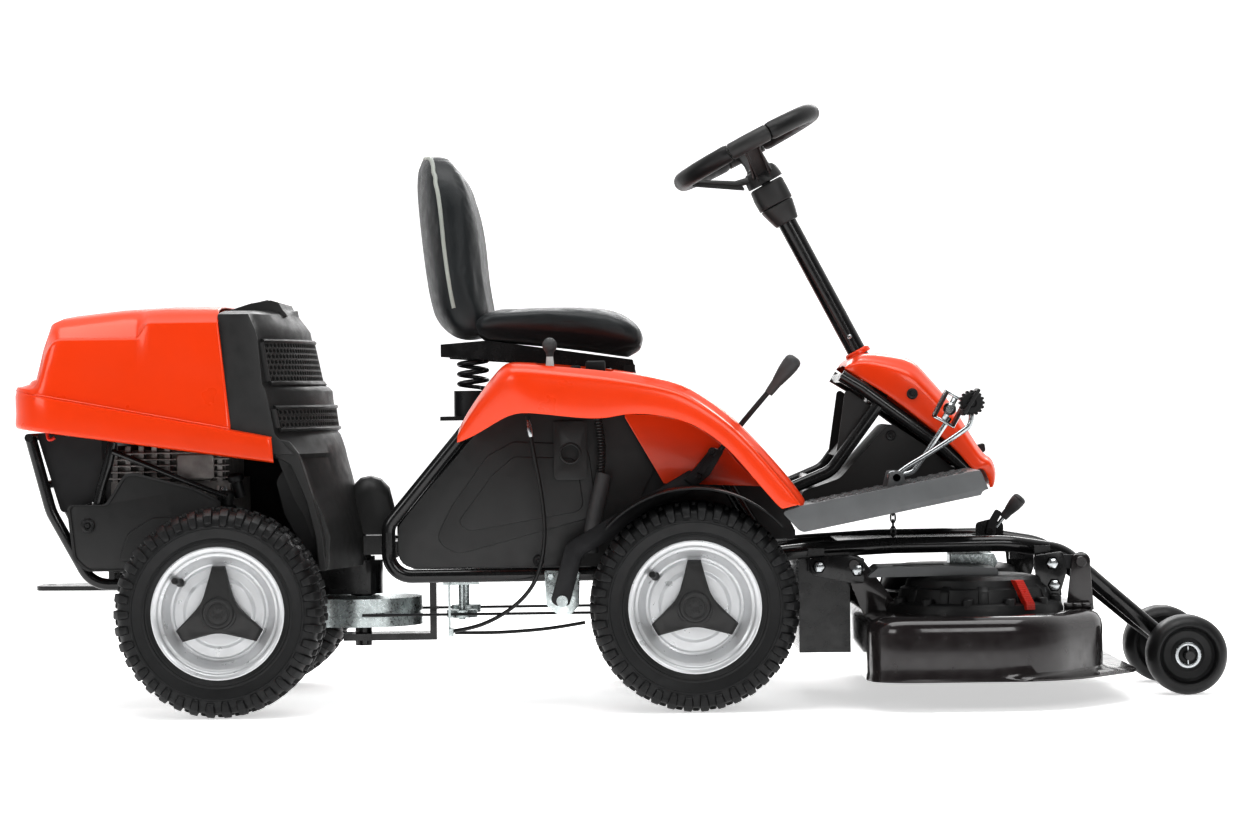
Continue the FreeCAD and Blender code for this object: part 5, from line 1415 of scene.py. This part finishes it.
def deck_details():
    """Silver spring box, link plates, bolts on the links and chain links."""
    box = prism("spring_box", [(577, 224, 3), (577, 252, 3), (655, 252, 3), (662, 236, 3), (655, 224, 3)], -120, -60)
    fit(soften(box, 1.5, 2), "deck_frame", "zinc_plate")
    plates = []
    for side in SIDES.values():
        span = sorted((side * 226, side * 230))
        plates.append(prism(f"rear_link_plate_{side}", [(319, 252, 8), (392, 257, 6), (418, 251, 4), (417, 208, 4),
                                                        (402, 207, 4), (326, 223, 8)], *span))
        plates.append(prism(f"front_link_plate_{side}", [(712, 252, 8), (764, 259, 8), (770, 224, 8), (756, 178, 8),
                                                         (736, 178, 8), (716, 214, 14)], *span))
    fit(merge("link_plates", [soften(p, 1, 2) for p in plates]), "deck_frame", "black_tube")
    bolts = [(x, side * 230, z) for side in SIDES.values() for x, z in ((339, 237), (406, 231), (745, 238), (748, 200))]
    made = []
    for k, (x, y, z) in enumerate(bolts):
        side = 1 if y > 0 else -1
        made.append(lathe(f"bolt_{k}", [(0.01, 6), (6, 6), (9.5, 4.6), (9.5, 0), (12, 0), (12, -1.6), (0.01, -1.6)],
                          (x, y, z), (0, side, 0), 6))
    fit(merge("link_bolts", made), "deck_frame", "bright_steel")
    low, high = node_box("lift_chain")
    middle = (low + high) / 2
    links = []
    count = 8
    step = (high.z - low.z) / count
    for k in range(count):
        z = low.z + step * (k + 0.5)
        wide, tall, wire = 4.2, step * 0.72, 1.5
        flat_way = Vector((1, 0, 0)) if k % 2 else Vector((0, 1, 0))
        rings = []
        for a in range(25):
            turn = 2 * math.pi * a / 24
            spot = Vector((middle.x, middle.y, z)) + flat_way * wide * math.cos(turn) + Vector((0, 0, tall)) * math.sin(turn)
            out = (flat_way * math.cos(turn) + Vector((0, 0, 1)) * math.sin(turn)).normalized()
            other = out.cross(flat_way.cross(Vector((0, 0, 1)))).normalized()
            third = flat_way.cross(Vector((0, 0, 1)))
            rings.append([spot + out * wire * math.cos(b * math.pi / 4) + third * wire * math.sin(b * math.pi / 4)
                          for b in range(8)])
        links.append(loft(f"chain_{k}", rings, caps=False))
    chain = merge("lift_chain_links", links)
    fit(chain, "front_section", "spring_steel", "lift_chain")
    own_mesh(chain)


def grip(name, body, foot, tip, widths, replaced=(), slot="grey_plastic"):
    """Moulded tapered handle with shallow rings and a rounded end."""
    foot, tip = Vector(foot), Vector(tip)
    length = (tip - foot).length
    profile = [(0.01, 0), (widths[0], 0)]
    for t, radius in ((0.12, widths[0] + 1), (0.3, widths[1]), (0.34, widths[1] + 0.9), (0.6, widths[2]),
                      (0.8, widths[3]), (0.84, widths[3] - 0.7), (0.87, widths[3]), (0.95, widths[3] * 0.86),
                      (0.99, widths[3] * 0.55), (1.0, 0.01)):
        profile.append((radius, length * t))
    piece = lathe(name, profile, foot, tip - foot, 40, degrees=40)
    return fit(piece, body, slot, *replaced)


def levers():
    """Lift lever's blade, clevis, rod and grip; the deck's height lever."""
    y = -236
    blade = prism("lever_blade", [(-128, 184, 12), (-118, 176, 8), (-96, 176, 8), (-72, 262, 20), (136, 384, 8),
                                  (118, 410, 8), (-100, 284, 30)], y - 3, y + 3)
    clevis = prism("lever_clevis", [(106, 393, 3), (127, 414, 3), (155, 448, 3), (176, 441, 3), (151, 400, 3), (126, 379, 3)],
                   y - 9, y + 7)
    block = prism("lever_block", [(128, 406, 2), (150, 436, 2), (160, 430, 2), (140, 400, 2)], y - 13, y + 9)
    bar = tube("lever_bar_curve", [(150, y, 420), (178, y - 6, 452), (215, y - 16, 498), (262, -262, 552)], 4.6)
    bar_mesh = bpy.data.objects.new("lever_bar", bpy.data.meshes.new_from_object(bar))
    SCENE.collection.objects.link(bar_mesh)
    bpy.data.objects.remove(bar)
    fit(merge("lift_lever_body", [soften(blade, 1.2, 2), soften(clevis, 1.5, 2), soften(block, 2, 2), bar_mesh]),
        "lift_lever", "dark_steel", "lift_lever")
    screws("lever_screws", "lift_lever", [(132, y - 9, 398), (156, y - 9, 440), (-108, y - 3.5, 184)], (0, -1, 0), 6, 3.5)
    grip("lift_lever_grip", "lift_lever", (254, -260, 540), (302, -270, 602), (7, 9, 13.5, 15), ("lift_grip",))
    plate = prism("height_plate", [(655, 276, 6), (661, 300, 4), (676, 325, 4), (687, 319, 4), (675, 296, 4),
                                   (675, 276, 8)], 34, 40)
    fit(soften(plate, 0.8, 2), "height_lever", "dark_steel", "height_lever")
    shaft = tube("height_shaft", [(676, 37, 292), (684, 37, 302), (694, 37, 315)], 3.4)
    fit(shaft, "height_lever", "bright_steel")
    grip("height_grip", "height_lever", (689, 37, 309), (723, 37, 347), (7, 8.5, 12, 13))


deck_shell()
belt_cover()
deck_details()
levers()

# ---------------------------------------------------------------- hand controls


def controls():
    """Console plate with embossed marks, ball lever, choke knob and the rotary switch."""
    low, high = node_box("control_console")
    tray = prism("console_tray", [(low.x, -370, 10), (high.x, -370, 10), (high.x, -280, 10), (low.x, -280, 10)],
                 560, 570.6, "xy")
    ticks = []
    for k in range(6):
        x = low.x + 30 + k * 8
        ticks.append(prism(f"tick_{k}", [(x, -352), (x + 2.2, -352), (x + 2.2, -344 + k % 2 * 3), (x, -344 + k % 2 * 3)],
                           570, 571.3, "xy"))
    fit(soften(tray, 2, 3), "front_section", "dark_plastic", "control_console")
    fit(merge("console_marks", ticks), "front_section", "dark_plastic", finish=WHITE)
    y = -325
    base = lathe("throttle_base", [(0.01, -6), (7.6, -6), (8.2, -2), (7.4, 6), (6.2, 18), (5.4, 27), (0.01, 27)],
                 (-122, y, 586), (0, 0, 1), 32)
    fit(base, "throttle", "bright_steel", finish=WHITE)
    ball = lathe("throttle_ball", [(0.01, 13.5), (4, 12.9), (8, 10.6), (11, 7), (12.6, 2.5), (12.7, -1), (11.6, -5.4),
                                   (9.2, -9), (6.8, -12), (6.2, -19), (0.01, -19)], (-122, y, 627), (0, 0, 1), 40,
                 degrees=60)
    fit(ball, "throttle", "grey_plastic", "throttle_lever")
    knob = lathe("choke_button", [(0.01, 6), (6, 6), (8.6, 4.6), (9.2, 2), (8.4, -1), (6, -3), (4, -4), (4, -30),
                                  (0.01, -30)], (-78, y, 586), (0, 0, 1), 32)
    fit(knob, "choke", "black_plastic", "choke_knob")
    dial = lathe("switch_dial", [(0.01, 9), (14, 9), (16.5, 7.5), (17, 1.5), (0.01, 1.5)], (-44, y, 570), (0, 0, 1),
                 36)
    wing = prism("switch_wing", [(-61, y - 7, 6), (-27, y - 7, 6), (-27, y + 7, 6), (-61, y + 7, 6)], 578, 600, "xy")
    fit(merge("blade_switch_knob", [soften(dial, 1, 2), soften(wing, 3.5, 4)]), "blade_switch", "black_plastic",
        "blade_switch")


def side_details():
    """Side panels with their embossed shield shape, bracket plate, hose and corrugated sleeve."""
    for name, side in SIDES.items():
        outer = 206
        panel = prism(f"side_panel_{name}", [(-396, 243, 45), (-393, 318, 30), (-212, 527, 60), (70, 527, 40),
                                             (60, 420), (-20, 262, 30), (-30, 243)],
                      *sorted((side * outer, side * (outer - 4))))
        emboss = prism(f"emboss_{name}", [(-330, 290, 40), (-300, 350, 26), (-236, 438, 40), (-190, 462, 24),
                                          (-60, 456, 30), (-45, 330, 30), (-290, 266, 40)],
                       *sorted((side * (outer - 1), side * (outer + 2.6))))
        centre = prism(f"emboss_inner_{name}", [(-290, 322, 26), (-228, 404, 26), (-190, 436, 18), (-80, 432, 20),
                                                (-68, 340, 20), (-270, 306, 26)],
                       *sorted((side * (outer + 1), side * (outer + 4.4))))
        soften(emboss, 2.2, 4)
        soften(centre, 1.8, 4)
        panel_piece = merge(f"side_panel_{name}_body", [soften(panel, 1.2, 2), emboss, centre])
        fit(panel_piece, "front_section", "dark_plastic", *(["side_panels"] if side == RIGHT else []))
    plate = prism("bracket_outer", [(-120, 394, 10), (-120, 496, 4), (-62, 496, 4), (-62, 394, 10)], -216, -211)
    hole = lathe("bracket_hole", [(0.01, -8), (14.6, -8), (14.6, 8), (0.01, 8)], (-91, -213, 440), (0, 1, 0), 32)
    cut(plate, hole)
    rim_piece = lathe("bracket_rim", [(15, 0), (19, 0), (18.6, 2), (16.4, 2.4), (15, 1.2)], (-91, -216, 440),
                      (0, -1, 0), 32)
    fit(merge("bracket_plate_body", [soften(plate, 1, 2), rim_piece]), "front_section", "dark_plastic",
        "lever_brackets")
    lug_piece = prism("lever_bracket_body", [(-139, 237, 4), (-77, 234, 4), (-79, 176, 8), (-92, 160, 8),
                                             (-118, 160, 8), (-136, 176, 8)], -218, -213)
    boss = lathe("lever_bracket_pin", [(0.01, 0), (10, 0), (10, 6), (7, 7), (7, 30), (0.01, 30)], (-108, -243, 184),
                 (0, 1, 0), 24)
    small = [lathe(f"bracket_bolt_{k}", [(0.01, 4), (5, 4), (5.6, 3), (5.6, 0), (0.01, 0)], (x, -218, z), (0, -1, 0), 6)
             for k, (x, z) in enumerate(((-128, 226), (-90, 226), (-128, 192)))]
    fit(merge("lever_bracket_plate", [soften(lug_piece, 0.8, 2), boss] + small), "front_section", "zinc_plate")
    sleeve = []
    for k in range(26):
        t = k / 25
        z = 520 - 130 * t
        x = -46 + 10 * math.sin(t * 2.6)
        sleeve.append(lathe(f"sleeve_{k}", [(4, -2.5), (6.6, -2), (7.2, 0), (6.6, 2), (4, 2.5)], (x, -222, z),
                            (0, 0, 1), 16))
    fit(merge("wiring_sleeve", sleeve), "front_section", "cable_rubber")
    hose = tube("fuel_hose", [(-32, -224, 404), (-40, -226, 370), (-50, -226, 330), (-56, -224, 300), (-58, -220, 268)],
                14)
    fit(hose, "front_section", "grey_plastic")
    knobs = [lathe("panel_knob", [(0.01, 4), (3, 4), (4, 2.4), (8, 3), (9.5, 1.5), (9.5, -1), (0.01, -1)],
                   (-149, -208, 253), (0, -1, 0), 28)]
    fit(merge("panel_knob_piece", knobs), "front_section", "black_plastic")


def wheel_wells():
    """Black sheets of painted shade between the fenders and the front wheels, where there is only shade behind the
    wheels.
    """
    for name, side in SIDES.items():
        # This black sheet paints the shade behind the front wheel.
        wheel_shade = prism(f"wheel_shade_sheet_{name}", [(-60, 240, 6), (-60, 440, 6), (60, 500, 6), (134, 430, 30),
                                              (224, 395, 30), (280, 340, 20), (300, 300, 6), (300, 286, 6),
                                              (240, 286, 6), (60, 240, 6)],
                      *sorted((side * 201, side * 198)))
        fit(wheel_shade, "front_section", "black_plastic", finish=SHADE_BLACK)


def cables():
    """Control cables along the machine's flank and belly, and the taut steering cables."""
    lift = [(-164, -240, 506), (-160, -241, 478), (-152, -243, 430), (-142, -244, 375), (-136, -244, 320),
            (-138, -243, 278), (-147, -240, 236), (-163, -232, 204), (-190, -218, 176), (-226, -194, 152),
            (-268, -162, 134), (-306, -128, 127)]
    control = [(-70, -150, 141), (-122, -148, 132), (-180, -146, 127), (-240, -140, 124), (-300, -122, 124)]
    fit(tube("lift_cable", lift, 3.4), "front_section", "cable_rubber", "control_cables")
    fit(tube("control_cable", control, 3), "front_section", "cable_rubber")
    for name, side in SIDES.items():
        steer = tube(f"steer_cable_{name}", [(-466, side * 106.6, 155.5), (-250, side * 106.6, 155.5),
                                             (-36, side * 106.6, 155.5)], 2.4)
        fit(steer, "front_section", "dark_steel")
    ferrule = lathe("cable_ferrule", [(0.01, 0), (4.6, 0), (5.4, 3), (5.4, 16), (4.4, 24), (3.4, 30), (0.01, 30)],
                    (-158.5, -241.5, 470), (-0.14, 0.03, 0.98), 24)
    fit(ferrule, "front_section", "bright_steel")


controls()
side_details()
wheel_wells()
cables()

# ---------------------------------------------------------------- engine bay and tail


def engine_details():
    """Cast crankcase ribs, finned head, filler, carburettor, rods and the hood's hook."""
    low, high = node_box("engine_block")
    pieces = []
    y = low.y
    for k in range(8):
        x = low.x + 26 + k * 23
        pieces.append(soften(prism(f"case_rib_{k}", [(x, 306, 2), (x + 5, 306, 2), (x + 5, 392, 2), (x, 392, 2)],
                                   y - 5, y + 6), 1, 2))
    cover = prism("case_cover", [(-880, 318, 16), (-880, 384, 16), (-800, 390, 16), (-792, 318, 16)], y - 10, y + 4)
    head = prism("head_cover", [(-782, 402, 8), (-782, 448, 8), (-716, 448, 8), (-716, 402, 8)], y - 12, y + 2)
    pieces += [soften(cover, 3, 3), soften(head, 3, 3)]
    for k in range(5):
        pieces.append(soften(prism(f"head_fin_{k}", [(-908 + k * 6, 404 + k * 11), (-690, 404 + k * 11),
                                                     (-690, 407 + k * 11), (-908 + k * 6, 407 + k * 11)],
                                   y - 8, y + 10), 0.8, 2))
    fit(merge("crankcase_details", pieces), "rear_section", "cast_alloy")
    parts = [lathe("oil_filler", [(0.01, 40), (13, 40), (14, 38), (14, 30), (10, 28), (10, 0), (0.01, 0)],
                   (-672, -176, 372), (-0.2, -0.25, 1), 28),
             lathe("carburettor", [(0.01, 0), (17, 0), (20, 4), (20, 26), (14, 30), (14, 52), (0.01, 52)],
                   (-700, -182, 330), (0.1, -0.15, 1), 28)]
    fit(merge("engine_fittings", parts), "rear_section", "black_plastic")
    rods = tube("bay_rod", [(-889, -214, 454), (-830, -216, 430), (-760, -218, 400), (-690, -216, 372)], 5)
    fit(rods, "rear_section", "black_tube")
    stay = tube("bay_stay", [(-890, -206, 470), (-898, -208, 430), (-914, -210, 380), (-922, -208, 330)], 9)
    fit(stay, "rear_section", "black_tube")
    screws("crankcase_screws", "rear_section", [(-872, y - 10, 328), (-872, y - 10, 376), (-804, y - 10, 328),
                                                (-804, y - 10, 376), (-700, y - 6, 384), (-890, -150, 452)],
           (0, -1, 0), 4.4, 3.4, "bright_steel")
    hook = tube("hood_hook", [(-1000, -232, 498), (-1000, -234, 482), (-994, -236, 474), (-986, -236, 480)], 3)
    fit(hook, "hood", "dark_steel", finish=RED)


def side_shields():
    """Rear flank shields with a rolled border, a pressed step and a round knob."""
    for name, side in SIDES.items():
        outer = 228
        outline = [(-968, 362, 10), (-901, 362, 14), (-867, 414, 14), (-850, 417, 10), (-742, 388, 14), (-700, 365, 6),
                   (-700, 246, 4), (-936, 246, 20), (-958, 268, 20)]
        body = prism(f"shield_{name}", outline, *sorted((side * outer, side * (outer - 4))))
        step = prism(f"shield_step_{name}", [(-880, 262, 10), (-862, 312, 20), (-820, 338, 26), (-716, 342, 10),
                                             (-716, 262, 10)], *sorted((side * (outer - 1), side * (outer + 4))))
        knob = lathe(f"shield_knob_{name}", [(0.01, 6), (4, 6), (5, 3), (9, 4.4), (12, 3), (12.6, -1), (0.01, -1)],
                     (-932, side * outer, 326), (0, side, 0), 32)
        lip = []
        ring = rounded(outline)
        for p in ring:
            middle = Vector((-840, 330))
            inward = (middle - p).normalized() * 5
            lip.append((p, p + inward))
        verts = []
        for p, q in lip:
            for spot in (p, q):
                verts.append((spot.x, side * outer, spot.y))
                verts.append((spot.x, side * (outer + 2.4), spot.y))
        count = len(lip)
        faces = []
        for k in range(count):
            a, b = 4 * k, 4 * ((k + 1) % count)
            faces += [(a + 1, b + 1, b + 3, a + 3), (a, b, b + 1, a + 1), (a + 2, b + 2, b + 3, a + 3)]
        border = solid(f"shield_border_{name}", verts, faces)
        fit(merge(f"side_shield_{name}", [soften(body, 1.4, 2), soften(step, 3, 4), border]), "rear_section",
            "dark_plastic", *(["side_shields"] if side == RIGHT else []))
        fit(knob, "rear_section", "black_plastic")


def cover_details():
    """Side ribs with their screws, and black sheets behind the engine and at the tail that paint the shade inside the
    bay.
    """
    for name, side in SIDES.items():
        outline = [(-607, 476, 5), (-577, 468, 10), (-561, 448, 14), (-535, 365, 30), (-520, 304, 30), (-514, 243, 4),
                   (-528, 243, 4), (-534, 304, 30), (-549, 365, 30), (-574, 428, 16), (-600, 440, 6)]
        rib = prism(f"cover_rib_{name}", outline, *sorted((side * 262, side * 225)))
        fit(soften(rib, 2.5, 3), "rear_section", "dark_plastic")
        screws(f"cover_screw_{name}", "rear_section", [(-588, side * 262, 455)], (0, side, 0), 6.4, 3, "black_plastic")
        wing = prism(f"cover_wing_{name}", [(-604, 398, 14), (-584, 432, 10), (-566, 424, 6), (-528, 330, 30),
                                            (-520, 250, 6), (-548, 262, 20), (-590, 340, 30)],
                     *sorted((side * 225, side * 214)))
        fit(soften(wing, 4, 3), "rear_section", "black_plastic")
    # These black sheets paint the shade inside the engine bay.
    bay = prism("bay_back", [(-1012, 486, 8), (-690, 445, 8), (-590, 420, 8), (-590, 300, 8), (-690, 262, 8),
                             (-946, 262, 8)], 186, 189)
    tails = [prism(f"bay_side_{side}", [(-1026, 488, 6), (-912, 474, 6), (-912, 372, 8), (-984, 346, 10)],
                   *sorted((side * 186, side * 183))) for side in SIDES.values()]
    fit(merge("bay_shade_sheets", [bay] + tails), "rear_section", "black_plastic", finish=SHADE_BLACK)


def pivot_details():
    """Rounded pivot cover behind the front frame."""
    rings = []
    for x, top in ((-489, 366), (-486, 386), (-474, 398), (-455, 402), (-436, 396), (-422, 380), (-415, 350)):
        ring = []
        for k in range(9):
            turn = math.pi * k / 8
            ring.append((x, -34 * math.cos(turn), 296 + (top - 296) * (0.55 + 0.45 * math.sin(turn)) if k not in (0, 8)
                         else 296))
        rings.append(ring)
    shell = loft("pivot_shell", rings, degrees=40)
    fit(soften(shell, 4, 4, 35), "front_section", "dark_plastic", "pivot_cover")


engine_details()
side_shields()
cover_details()
pivot_details()
